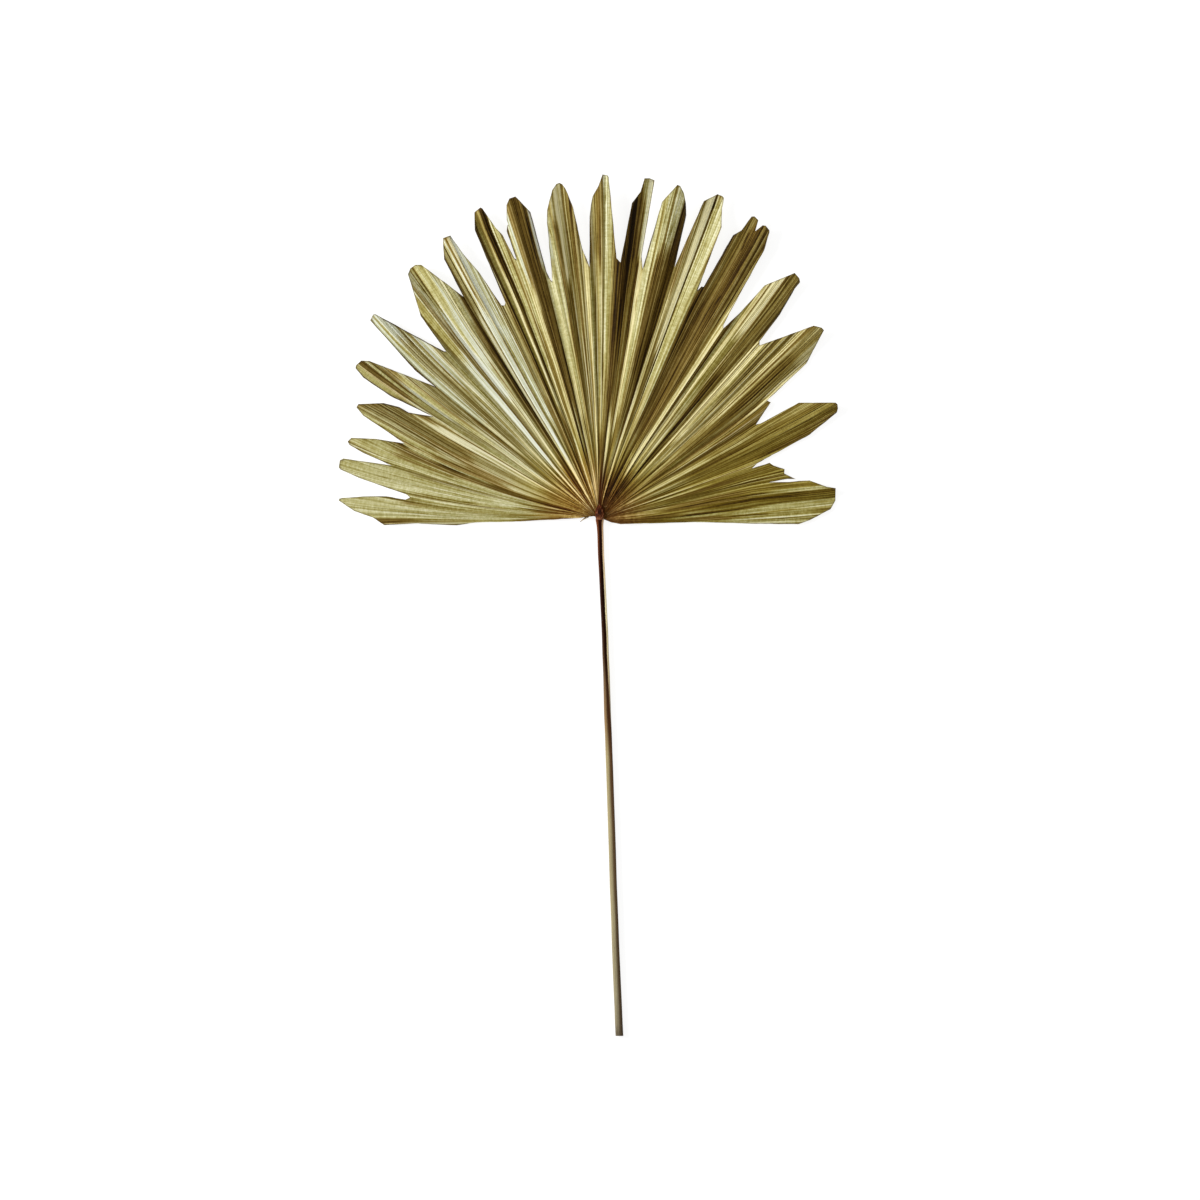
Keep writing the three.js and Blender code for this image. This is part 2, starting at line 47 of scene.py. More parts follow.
# ---------------------------------------------------------------- dimensions
# Outline of the fan, from its right lower corner counter-clockwise, mm from the hub.
OUTLINE = [
    (8.4, -2.4), (14.7, -3.9), (65.8, -2.4), (139.3, -3.3), (147.0, -0.5), (161.7, 7.2), (165.1, 13.3), (165.2, 21.9),
    (158.9, 22.9), (147.0, 27.3), (138.6, 27.4), (129.3, 32.2), (129.5, 35.3), (121.7, 37.8), (119.0, 39.7), (106.7, 35.7),
    (110.3, 39.2), (147.0, 59.3), (166.1, 74.9), (166.8, 77.7), (166.5, 80.5), (165.2, 81.7), (139.3, 81.7), (112.7, 67.2),
    (109.5, 66.5), (119.8, 81.9), (117.3, 83.3), (144.8, 109.2), (157.0, 132.3), (155.4, 134.1), (149.8, 135.5), (112.0, 121.8),
    (112.0, 124.7), (126.3, 143.5), (136.5, 161.3), (140.3, 165.9), (139.8, 168.7), (136.5, 172.4), (115.5, 163.7), (99.2, 145.6),
    (86.7, 133.7), (86.7, 135.8), (91.2, 144.9), (115.2, 188.3), (118.9, 200.9), (118.8, 202.3), (116.2, 205.4), (114.1, 205.7),
    (108.9, 201.6), (111.1, 209.3), (108.5, 212.0), (106.4, 211.9), (99.4, 202.3), (93.4, 198.8), (72.8, 162.6), (71.4, 163.0),
    (68.6, 160.3), (85.4, 204.4), (85.7, 217.7), (87.1, 224.7), (86.2, 226.1), (82.6, 227.6), (73.0, 222.6), (52.5, 176.5),
    (60.7, 212.8), (60.4, 221.2), (59.0, 228.2), (56.4, 233.1), (54.4, 233.8), (43.7, 221.9), (30.1, 175.3), (29.4, 184.1),
    (38.5, 237.3), (35.0, 238.7), (31.5, 238.6), (28.7, 229.2), (22.7, 221.2), (14.7, 179.7), (11.9, 182.8), (6.4, 239.4),
    (5.6, 240.6), (2.1, 241.2), (-0.7, 233.2), (-4.8, 226.1), (-6.0, 219.8), (-6.9, 212.1), (-7.0, 176.8), (-12.1, 189.7),
    (-18.5, 218.4), (-23.6, 231.0), (-26.1, 234.5), (-28.0, 235.4), (-30.1, 234.7), (-33.1, 230.3), (-36.6, 216.3), (-36.7, 207.2),
    (-32.9, 166.5), (-34.3, 167.5), (-37.1, 173.3), (-48.3, 214.9), (-58.8, 225.8), (-63.0, 224.3), (-65.0, 219.8), (-64.8, 209.3),
    (-63.6, 205.8), (-64.4, 206.0), (-64.9, 201.6), (-58.1, 181.9), (-59.6, 182.7), (-67.7, 198.8), (-72.4, 203.7), (-81.9, 217.5),
    (-83.3, 218.2), (-87.5, 214.9), (-87.2, 202.3), (-65.8, 151.5), (-66.5, 149.7), (-68.6, 149.8), (-84.3, 172.9), (-95.2, 185.6),
    (-104.3, 198.6), (-109.5, 196.7), (-108.7, 182.0), (-95.2, 155.9), (-124.6, 178.1), (-128.8, 178.1), (-132.3, 175.7), (-134.0, 171.5),
    (-125.0, 142.1), (-107.4, 117.6), (-108.7, 117.6), (-156.8, 143.6), (-158.2, 143.4), (-160.4, 139.3), (-129.1, 104.3), (-115.2, 93.1),
    (-161.0, 110.9), (-166.6, 111.1), (-170.3, 107.8), (-170.6, 105.7), (-165.2, 99.2), (-146.3, 86.3), (-116.8, 72.1), (-133.7, 74.9),
    (-140.0, 78.6), (-151.2, 81.5), (-168.7, 80.7), (-170.0, 78.4), (-165.4, 72.8), (-136.4, 53.2), (-156.8, 56.4), (-173.6, 57.1),
    (-176.2, 54.6), (-175.0, 52.2), (-165.2, 46.5), (-145.6, 37.8), (-179.2, 42.6), (-181.6, 41.3), (-182.4, 36.4), (-181.3, 35.0),
    (-168.0, 29.0), (-135.0, 17.5), (-132.6, 15.4), (-135.8, 13.9), (-149.1, 16.2), (-162.4, 16.2), (-179.9, 15.1), (-182.0, 14.5),
    (-182.5, 13.3), (-171.5, 5.9), (-158.5, 1.4), (-150.5, -4.0), (-127.4, -2.7), (-100.1, -4.2), (-86.8, -2.5), (-61.6, -2.2),
    (-13.4, 0.0), (-13.6, -1.4), (-12.6, -1.8),
]

# Fold lines, right to left: nominal angle, height near the hub, height out in the segments.
FOLDS = [
    (-0.65, 3.5, 2.2), (-0.15, 2.5, 1.4), (0.90, 0.4, 2.2), (1.65, 0.1, 1.4), (4.55, 1.1, 0.4), (5.05, 1.2, 0.0), (6.65, 2.5, 2.1),
    (9.35, 1.5, 3.4), (10.75, 0.1, 2.7), (11.70, 0.2, 1.5), (12.30, 0.4, 0.1), (17.20, 2.4, 2.3), (18.60, 0.5, 2.0), (20.50, 2.5, 1.7),
    (21.35, 1.0, 0.1), (21.85, 0.1, 0.0), (24.00, 0.5, 1.5), (25.50, 2.6, 2.8), (29.10, 2.7, 2.6), (30.30, 0.4, 2.2), (31.15, 0.1, 0.6),
    (32.00, 1.3, 0.2), (33.45, 3.4, 2.2), (34.60, 0.6, 0.9), (35.10, 0.2, 1.0), (35.75, 0.3, 0.0), (37.85, 2.0, 2.3), (40.65, 1.0, 2.6),
    (41.75, 0.5, 1.8), (42.50, 0.4, 0.2), (43.00, 0.9, 0.5), (43.70, 1.5, 1.9), (44.35, 1.3, 1.6), (45.20, 0.6, 2.6), (46.10, 1.4, 2.9),
    (46.80, 2.1, 1.7), (47.30, 2.5, 1.1), (47.85, 2.3, 1.3), (48.45, 1.1, 0.0), (49.05, 0.2, 0.5), (49.80, 0.0, 1.6), (51.55, 3.0, 3.0),
    (52.70, 2.5, 3.3), (53.45, 3.2, 3.2), (53.95, 3.3, 3.0), (54.45, 2.6, 2.7), (55.45, 0.6, 1.0), (55.95, 0.8, 0.8), (56.85, 2.7, 2.7),
    (57.35, 3.0, 2.5), (58.65, 0.6, 0.1), (59.15, 0.1, 0.1), (59.65, 0.1, 0.1), (60.80, 1.8, 1.4), (62.75, 0.7, 0.8), (64.90, 1.5, 1.1),
    (66.00, 2.1, 2.5), (67.20, 2.3, 3.8), (67.70, 2.8, 4.1), (68.30, 2.8, 3.3), (70.45, 0.2, 0.0), (70.95, 0.9, 0.6), (71.30, 2.1, 0.5),
    (72.00, 3.2, 0.8), (72.50, 2.9, 1.2), (73.55, 0.7, 0.6), (74.05, 0.0, 0.1), (75.50, 1.8, 2.6), (76.75, 2.9, 4.1), (77.45, 2.9, 4.5),
    (78.15, 2.7, 4.5), (79.20, 1.5, 2.7), (79.75, 1.3, 2.2), (80.90, 1.4, 0.0), (81.60, 2.2, 0.2), (82.55, 3.0, 1.0), (83.55, 1.1, 1.4),
    (84.10, 0.0, 2.2), (84.70, 0.3, 2.7), (85.50, 1.8, 3.0), (86.85, 3.2, 2.5), (87.75, 3.0, 1.9), (88.75, 2.7, 1.0), (89.30, 2.6, 1.9),
    (89.80, 2.0, 1.6), (90.50, 1.0, 0.3), (91.00, 0.9, 0.4), (91.95, 2.0, 2.1), (92.45, 1.8, 1.9), (93.35, 0.0, 0.0), (94.35, 1.1, 1.3),
    (95.20, 1.2, 1.2), (96.00, 0.8, 1.1), (97.60, 3.1, 3.3), (98.10, 2.6, 3.8), (98.90, 1.1, 3.0), (99.95, 0.9, 2.9), (100.85, 0.3, 1.3),
    (101.70, 0.1, 0.0), (102.20, 0.5, 0.3), (103.10, 1.5, 2.1), (104.20, 2.1, 2.8), (105.10, 4.2, 3.9), (105.60, 4.4, 3.6), (106.10, 3.5, 3.0),
    (106.75, 2.3, 2.1), (108.35, 0.4, 1.2), (108.95, 0.1, 0.1), (109.45, 0.5, 0.1), (110.00, 1.2, 1.2), (110.50, 1.3, 1.6), (111.15, 1.1, 0.6),
    (111.65, 1.7, 0.8), (112.50, 2.8, 2.4), (114.00, 1.7, 1.8), (114.85, 1.5, 2.8), (116.05, 1.6, 2.1), (116.70, 1.7, 1.3), (117.65, 2.6, 1.0),
    (118.20, 3.3, 1.8), (118.70, 3.4, 1.6), (119.20, 2.8, 1.5), (119.95, 1.5, 0.0), (120.65, 0.2, 0.4), (121.15, 0.0, 0.1), (121.90, 1.4, 1.6),
    (122.95, 3.1, 3.1), (124.10, 3.7, 3.9), (124.80, 3.3, 3.5), (125.30, 2.8, 3.0), (126.60, 0.6, 1.5), (127.40, 0.9, 0.2), (127.90, 1.6, 0.2),
    (129.05, 3.2, 2.5), (129.55, 3.3, 2.9), (131.25, 0.0, 0.0), (131.80, 0.2, 0.5), (132.35, 1.2, 1.6), (133.60, 2.9, 2.5), (134.10, 2.5, 2.6),
    (135.30, 0.4, 0.6), (136.95, 1.4, 1.2), (139.15, 1.5, 2.4), (140.60, 0.2, 0.0), (142.45, 2.6, 2.2), (144.30, 2.1, 2.6), (145.25, 0.3, 0.6),
    (145.75, 0.1, 0.2), (148.30, 3.5, 3.2), (149.65, 2.0, 2.7), (150.70, 0.1, 0.6), (151.20, 0.2, 0.0), (152.45, 0.9, 0.5), (156.25, 4.0, 2.5),
    (157.75, 0.9, 2.5), (158.35, 0.1, 2.0), (159.15, 0.3, 2.0), (159.95, 0.7, 0.0), (161.30, 3.0, 2.3), (162.15, 3.4, 2.8), (163.00, 2.6, 3.0),
    (165.35, 0.4, 0.2), (166.35, 1.9, 2.4), (167.10, 2.7, 2.9), (168.60, 2.6, 2.6), (170.55, 0.1, 0.5), (171.50, 0.1, 0.0), (172.65, 2.3, 1.0),
    (174.45, 0.5, 1.7), (175.80, 2.6, 3.1), (176.35, 2.9, 3.0), (179.15, 0.6, 0.1), (180.30, 1.6, 0.9), (181.15, 1.6, 2.2), (181.90, 0.1, 0.6),
]

# True polar angle of each nominal angle at each radius.
FAN_ANGLES = [-10, -5, 0, 5, 10, 15, 20, 25, 30, 35, 40, 45, 50, 55, 60, 65, 70, 75, 80, 85, 90, 95, 100, 105, 110, 115, 120, 125, 130, 135, 140, 145, 150, 155, 160, 165, 170, 175, 180, 185, 190]
FAN_RADII = [11.2, 16.8, 23.8, 33.6, 46.2, 63.0, 84.0, 108.5, 133.0, 161.0, 189.0, 217.0, 243.6]
FAN_TRUE = [
    [-26.2, -20.6, -13.3, -2.6, 11.4, 15.3, 20.4, 25.6, 31.1, 36.2, 41.2, 44.3, 49.1, 58.4, 63.7, 72.2, 77.4, 83.4, 86.3, 89.8, 92.4, 94.3, 96.4, 100.6, 106.6, 112.2, 117.9, 125.1, 130.5, 135.1, 139.7, 143.8, 148.1, 154.9, 160.3, 164.3, 167.3, 172.6, 177.0, 182.1, 188.0],
    [-23.4, -17.8, -10.4, -1.6, 11.1, 15.0, 19.9, 25.4, 30.8, 35.6, 40.4, 44.0, 49.3, 57.7, 62.9, 70.8, 75.9, 81.9, 85.2, 89.0, 91.7, 93.8, 96.3, 101.3, 107.5, 113.0, 118.4, 125.2, 130.5, 135.3, 139.9, 144.2, 148.8, 155.7, 161.3, 165.3, 168.4, 173.5, 177.8, 182.7, 188.4],
    [-20.0, -14.4, -7.6, -0.6, 10.7, 14.7, 19.5, 25.0, 30.6, 35.2, 39.7, 43.8, 49.5, 57.2, 62.3, 69.4, 74.6, 80.3, 83.9, 88.2, 91.1, 93.5, 96.7, 101.9, 108.2, 113.5, 118.7, 125.2, 130.6, 135.4, 140.2, 144.7, 149.5, 156.7, 162.4, 166.4, 169.5, 174.5, 178.7, 183.4, 188.8],
    [-15.9, -10.4, -5.4, 0.3, 10.4, 14.4, 19.0, 24.7, 30.2, 34.9, 39.4, 43.8, 50.0, 56.9, 61.9, 68.2, 73.3, 78.7, 82.6, 87.2, 90.5, 93.6, 97.3, 102.5, 108.6, 113.7, 118.8, 125.2, 130.7, 135.6, 140.5, 145.1, 150.2, 157.8, 163.4, 167.3, 170.6, 175.6, 179.6, 184.2, 189.3],
    [-12.7, -8.0, -3.7, 1.1, 10.3, 14.4, 18.9, 24.4, 29.8, 34.6, 39.3, 44.0, 50.2, 56.7, 61.7, 67.3, 72.3, 77.4, 81.5, 86.4, 89.9, 93.7, 97.8, 103.0, 108.7, 113.8, 118.9, 125.4, 130.7, 135.6, 140.7, 145.3, 150.6, 158.2, 163.6, 167.4, 171.3, 176.4, 180.3, 184.8, 189.8],
    [-11.2, -6.6, -2.4, 2.4, 10.6, 14.6, 19.0, 24.3, 29.3, 34.2, 39.2, 44.2, 50.0, 56.2, 61.2, 66.4, 71.4, 76.3, 80.7, 85.8, 89.7, 94.1, 98.5, 103.6, 109.0, 114.1, 119.4, 125.3, 130.4, 135.4, 140.5, 145.1, 150.5, 157.9, 163.1, 167.1, 171.5, 176.6, 180.6, 185.1, 190.0],
    [-10.5, -5.8, -1.4, 3.7, 11.0, 14.8, 19.1, 24.4, 29.3, 34.3, 39.4, 44.4, 49.8, 55.5, 60.6, 65.6, 70.6, 75.5, 80.3, 85.3, 89.8, 94.5, 99.1, 104.2, 109.3, 114.5, 119.8, 124.9, 129.8, 135.1, 140.2, 144.8, 150.2, 157.1, 162.0, 166.5, 171.2, 176.6, 180.5, 185.0, 189.9],
    [-10.2, -5.3, -0.6, 4.7, 10.8, 15.1, 19.4, 24.6, 29.5, 34.4, 39.7, 44.7, 49.9, 55.2, 60.2, 65.2, 70.2, 75.2, 80.1, 85.1, 90.0, 94.8, 99.6, 104.6, 109.7, 114.8, 120.0, 124.9, 129.8, 134.9, 140.1, 145.0, 150.2, 156.1, 161.2, 165.8, 170.5, 175.9, 180.4, 185.2, 190.1],
    [-10.0, -5.0, 0.0, 5.0, 10.0, 15.0, 20.0, 25.0, 30.0, 35.0, 40.0, 45.0, 50.0, 55.0, 60.0, 65.0, 70.0, 75.0, 80.0, 85.0, 90.0, 95.0, 100.0, 105.0, 110.0, 115.0, 120.0, 125.0, 130.0, 135.0, 140.0, 145.0, 150.0, 155.0, 160.0, 165.0, 170.0, 175.0, 180.0, 185.0, 190.0],
    [-9.6, -4.2, 0.8, 5.2, 9.1, 14.0, 21.0, 25.4, 30.1, 36.3, 40.6, 45.3, 50.0, 54.8, 59.8, 64.7, 69.8, 74.9, 80.0, 85.1, 90.1, 95.1, 100.4, 105.3, 110.3, 115.3, 120.0, 124.9, 130.0, 135.0, 139.8, 144.6, 149.8, 154.0, 158.5, 164.5, 169.5, 174.0, 180.0, 185.4, 190.3],
    [-9.3, -3.3, 1.7, 5.6, 9.0, 13.6, 22.4, 26.0, 30.1, 37.0, 41.0, 45.5, 50.1, 54.7, 59.6, 64.0, 69.6, 74.8, 79.9, 85.0, 90.2, 95.3, 100.7, 105.6, 110.7, 115.6, 119.9, 124.5, 129.8, 134.8, 139.1, 143.8, 149.4, 153.6, 157.4, 163.3, 168.8, 173.5, 179.1, 184.7, 190.3],
    [-9.3, -3.2, 2.0, 5.9, 9.1, 13.6, 23.1, 26.3, 30.1, 37.6, 41.5, 46.0, 50.5, 54.7, 59.6, 63.6, 69.5, 74.7, 79.9, 84.9, 90.4, 95.5, 100.9, 105.8, 111.1, 115.6, 119.7, 124.2, 129.6, 134.1, 138.2, 143.3, 148.6, 153.0, 157.1, 162.1, 168.4, 173.4, 178.9, 184.4, 190.3],
    [-9.3, -3.2, 2.0, 5.9, 9.1, 13.6, 23.1, 26.3, 30.2, 38.7, 42.2, 46.5, 50.7, 54.9, 59.8, 63.6, 69.5, 74.5, 79.8, 84.8, 90.6, 95.4, 100.9, 105.9, 110.9, 115.3, 119.3, 123.7, 129.0, 133.7, 138.3, 143.2, 148.0, 152.7, 157.1, 162.1, 168.3, 173.3, 178.9, 184.4, 190.3],
]

TIP_LIFT = [
    (-6, 1.5), (6, 2.5), (15, 3.5), (25, 5.5), (33, 2), (41, 6), (51, 4),
    (62, 6.5), (69.5, 4), (76.5, 7), (81.5, 5), (89, 7.5), (96.5, 4.5),
    (105.5, 7), (111, 4), (118.5, 6.5), (126, 4.5), (138, 6.5), (147, 3.5),
    (155, 5.5), (163, 3), (169, 4.5), (176, 2), (187, 1),
]
HUB_PROFILE = [(0, 4.4), (8.4, 4.3), (16.8, 3.7), (29.4, 2.7), (46, 1.5), (70, 0.5), (100, 0), (260, 0)]
REF_RADIUS, FOLD_START, FLAT_RADIUS = 133.0, 10.5, 196.0

# The notches between the segments, right to left: nominal angle and radius.
NOTCHES = [
    (14.0, 133.2), (18.9, 112.5), (31.4, 128.1), (34.9, 143.9), (47.2, 165.5), (57.2, 159.4), (67.3, 174.3),
    (73.7, 184.1), (80.3, 177.9), (85.3, 180.3), (92.1, 177.0), (100.7, 169.7), (107.0, 190.9), (113.6, 163.8),
    (121.6, 182.6), (132.4, 159.2), (141.2, 148.2), (148.3, 137.2), (159.4, 146.4), (165.8, 150.5), (173.4, 133.5),
]
# The segments, right to left: nominal angle and radius of the tip, sideways tilt of the tip in mm over the
# segment's width, curl of the edges in mm.
SEGMENTS = [
    (8.0, 166.6, 0.8, 0.6), (15.3, 134.2, -0.8, 0.5), (24.8, 185.0, -1.0, 0.9), (33.9, 145.1, 0.5, 0.3),
    (38.5, 205.3, 1.4, 0.8), (51.3, 219.9, -1.2, 1.0), (62.5, 238.0, -1.6, 0.8), (70.5, 242.1, 1.6, 1.0),
    (77.2, 240.1, 0.6, 1.1), (81.9, 241.2, 1.6, 0.5), (89.1, 241.2, 0.8, 0.7), (96.2, 237.1, -0.5, 1.0),
    (104.0, 233.3, -1.6, 0.8), (109.9, 233.6, -1.4, 0.6), (119.0, 225.1, -1.2, 0.8), (127.6, 220.0, 1.2, 0.8),
    (139.4, 213.5, 0.9, 0.9), (148.7, 201.6, -0.8, 0.6), (157.1, 187.2, -1.2, 0.6), (164.4, 184.4, 0.7, 0.5),
    (168.5, 186.2, -0.6, 0.5), (177.0, 183.0, 0.7, 0.5),
]

# ------------------------------------------------------------- fan coordinates
ANG = np.array(FAN_ANGLES, float)
RAD = np.array(FAN_RADII, float)
TRUE = np.array(FAN_TRUE, float)
FU, FNEAR, FFAR = (np.array(c, float) for c in zip(*FOLDS))


def smooth(a, b, x):
    t = np.clip((x - a) / (b - a), 0, 1)
    return t * t * (3 - 2 * t)


def warp_rows(r):
    r = np.clip(r, RAD[0], RAD[-1])
    j = np.clip(np.searchsorted(RAD, r, side="right") - 1, 0, len(RAD) - 2)
    f = ((r - RAD[j]) / (RAD[j + 1] - RAD[j]))[..., None]
    return TRUE[j] * (1 - f) + TRUE[j + 1] * f


def fan_to_xy(u, r):
    """Nominal angle in degrees and radius in mm to mm from the hub."""
    u, r = np.broadcast_arrays(np.asarray(u, float), np.asarray(r, float))
    rows = warp_rows(r)
    k = np.clip((u - ANG[0]) / (ANG[1] - ANG[0]), 0, len(ANG) - 1.0001)
    i = k.astype(int)
    g = k - i
    lo = np.take_along_axis(rows, i[..., None], -1)[..., 0]
    hi = np.take_along_axis(rows, i[..., None] + 1, -1)[..., 0]
    t = np.radians(lo * (1 - g) + hi * g)
    return r * np.cos(t), r * np.sin(t)


def xy_to_fan(x, y):
    r = np.hypot(x, y)
    t = np.degrees(np.arctan2(y, x))
    t = np.where(t < -90, t + 360, t)
    rows = warp_rows(r)
    i = np.clip((rows <= t[..., None]).sum(-1) - 1, 0, len(ANG) - 2)
    lo = np.take_along_axis(rows, i[..., None], -1)[..., 0]
    hi = np.take_along_axis(rows, i[..., None] + 1, -1)[..., 0]
    return ANG[0] + (i + (t - lo) / (hi - lo)) * (ANG[1] - ANG[0]), r


def pleat(u, r):
    """Height of the pleats above their valleys, mm."""
    w = smooth(42, 98, r)
    depth = (np.minimum(r, FLAT_RADIUS) + FOLD_START) / (REF_RADIUS + FOLD_START)
    return (np.interp(u, FU, FNEAR) * (1 - w) + np.interp(u, FU, FFAR) * w) * depth


def face_slope(u, r):
    """Sideways slope of the pleat's face, positive where it looks toward the fan's left side."""
    d = 0.05
    return -(pleat(u + d, r) - pleat(u - d, r)) / (2 * d * np.radians(1) * np.maximum(r, 4))


# Side lines of the gaps between segments, for what differs from one segment to the next.
O_XY = np.array(OUTLINE, float)
O_U, O_R = xy_to_fan(O_XY[:, 0], O_XY[:, 1])


def gap_lines():
    """For each notch, the middle of the gap as (radii, nominal angles) from the notch outward."""
    at = []
    for nu, nr in NOTCHES:
        at.append(int(np.argmin(np.abs(O_U - nu) * 3 + np.abs(O_R - nr))))
    lines = []
    for n, k in enumerate(at):
        right, left = [], []
        i = k
        while O_R[i - 1] > O_R[i] - 6 and i > 4 and O_U[i] > O_U[k] - 12:
            i -= 1
            right.append((O_R[i], O_U[i]))
            if O_R[i] >= SEGMENTS[n][1] - 12:
                break
        i = k
        while i < len(O_U) - 2 and O_R[i + 1] > O_R[i] - 6:
            i += 1
            left.append((O_R[i], O_U[i]))
            if O_R[i] >= SEGMENTS[n + 1][1] - 12:
                break
        grid = np.arange(O_R[k], 250, 4.0)
        def side(pts):
            p = np.array([(O_R[k], O_U[k])] + pts)
            p = p[np.argsort(p[:, 0], kind="stable")]
            return np.interp(grid, p[:, 0], p[:, 1])
        mid = 0.5 * (side(right) + side(left))
        lines.append((np.concatenate([[0], grid]), np.concatenate([[O_U[k]], mid])))
    return lines


GAPS = gap_lines()
SEG = np.array(SEGMENTS, float)
NOTCH = np.array(NOTCHES, float)
NOTCH_R_RIGHT = np.concatenate([[120.0], NOTCH[:, 1]])
NOTCH_R_LEFT = np.concatenate([NOTCH[:, 1], [120.0]])


def segment_of(u, r):
    """Index of the segment, and the place across it, from -1 at its right side to 1 at its left."""
    edges = np.stack([np.interp(r, rr, uu) for rr, uu in GAPS], 0)
    idx = (u[None] > edges).sum(0)
    low = np.concatenate([np.full((1,) + u.shape, FU[0]), edges], 0)
    high = np.concatenate([edges, np.full((1,) + u.shape, FU[-1])], 0)
    a = np.take_along_axis(low, idx[None], 0)[0]
    b = np.take_along_axis(high, idx[None], 0)[0]
    return idx, np.clip(2 * (u - a) / np.maximum(b - a, 0.2) - 1, -1.2, 1.2)


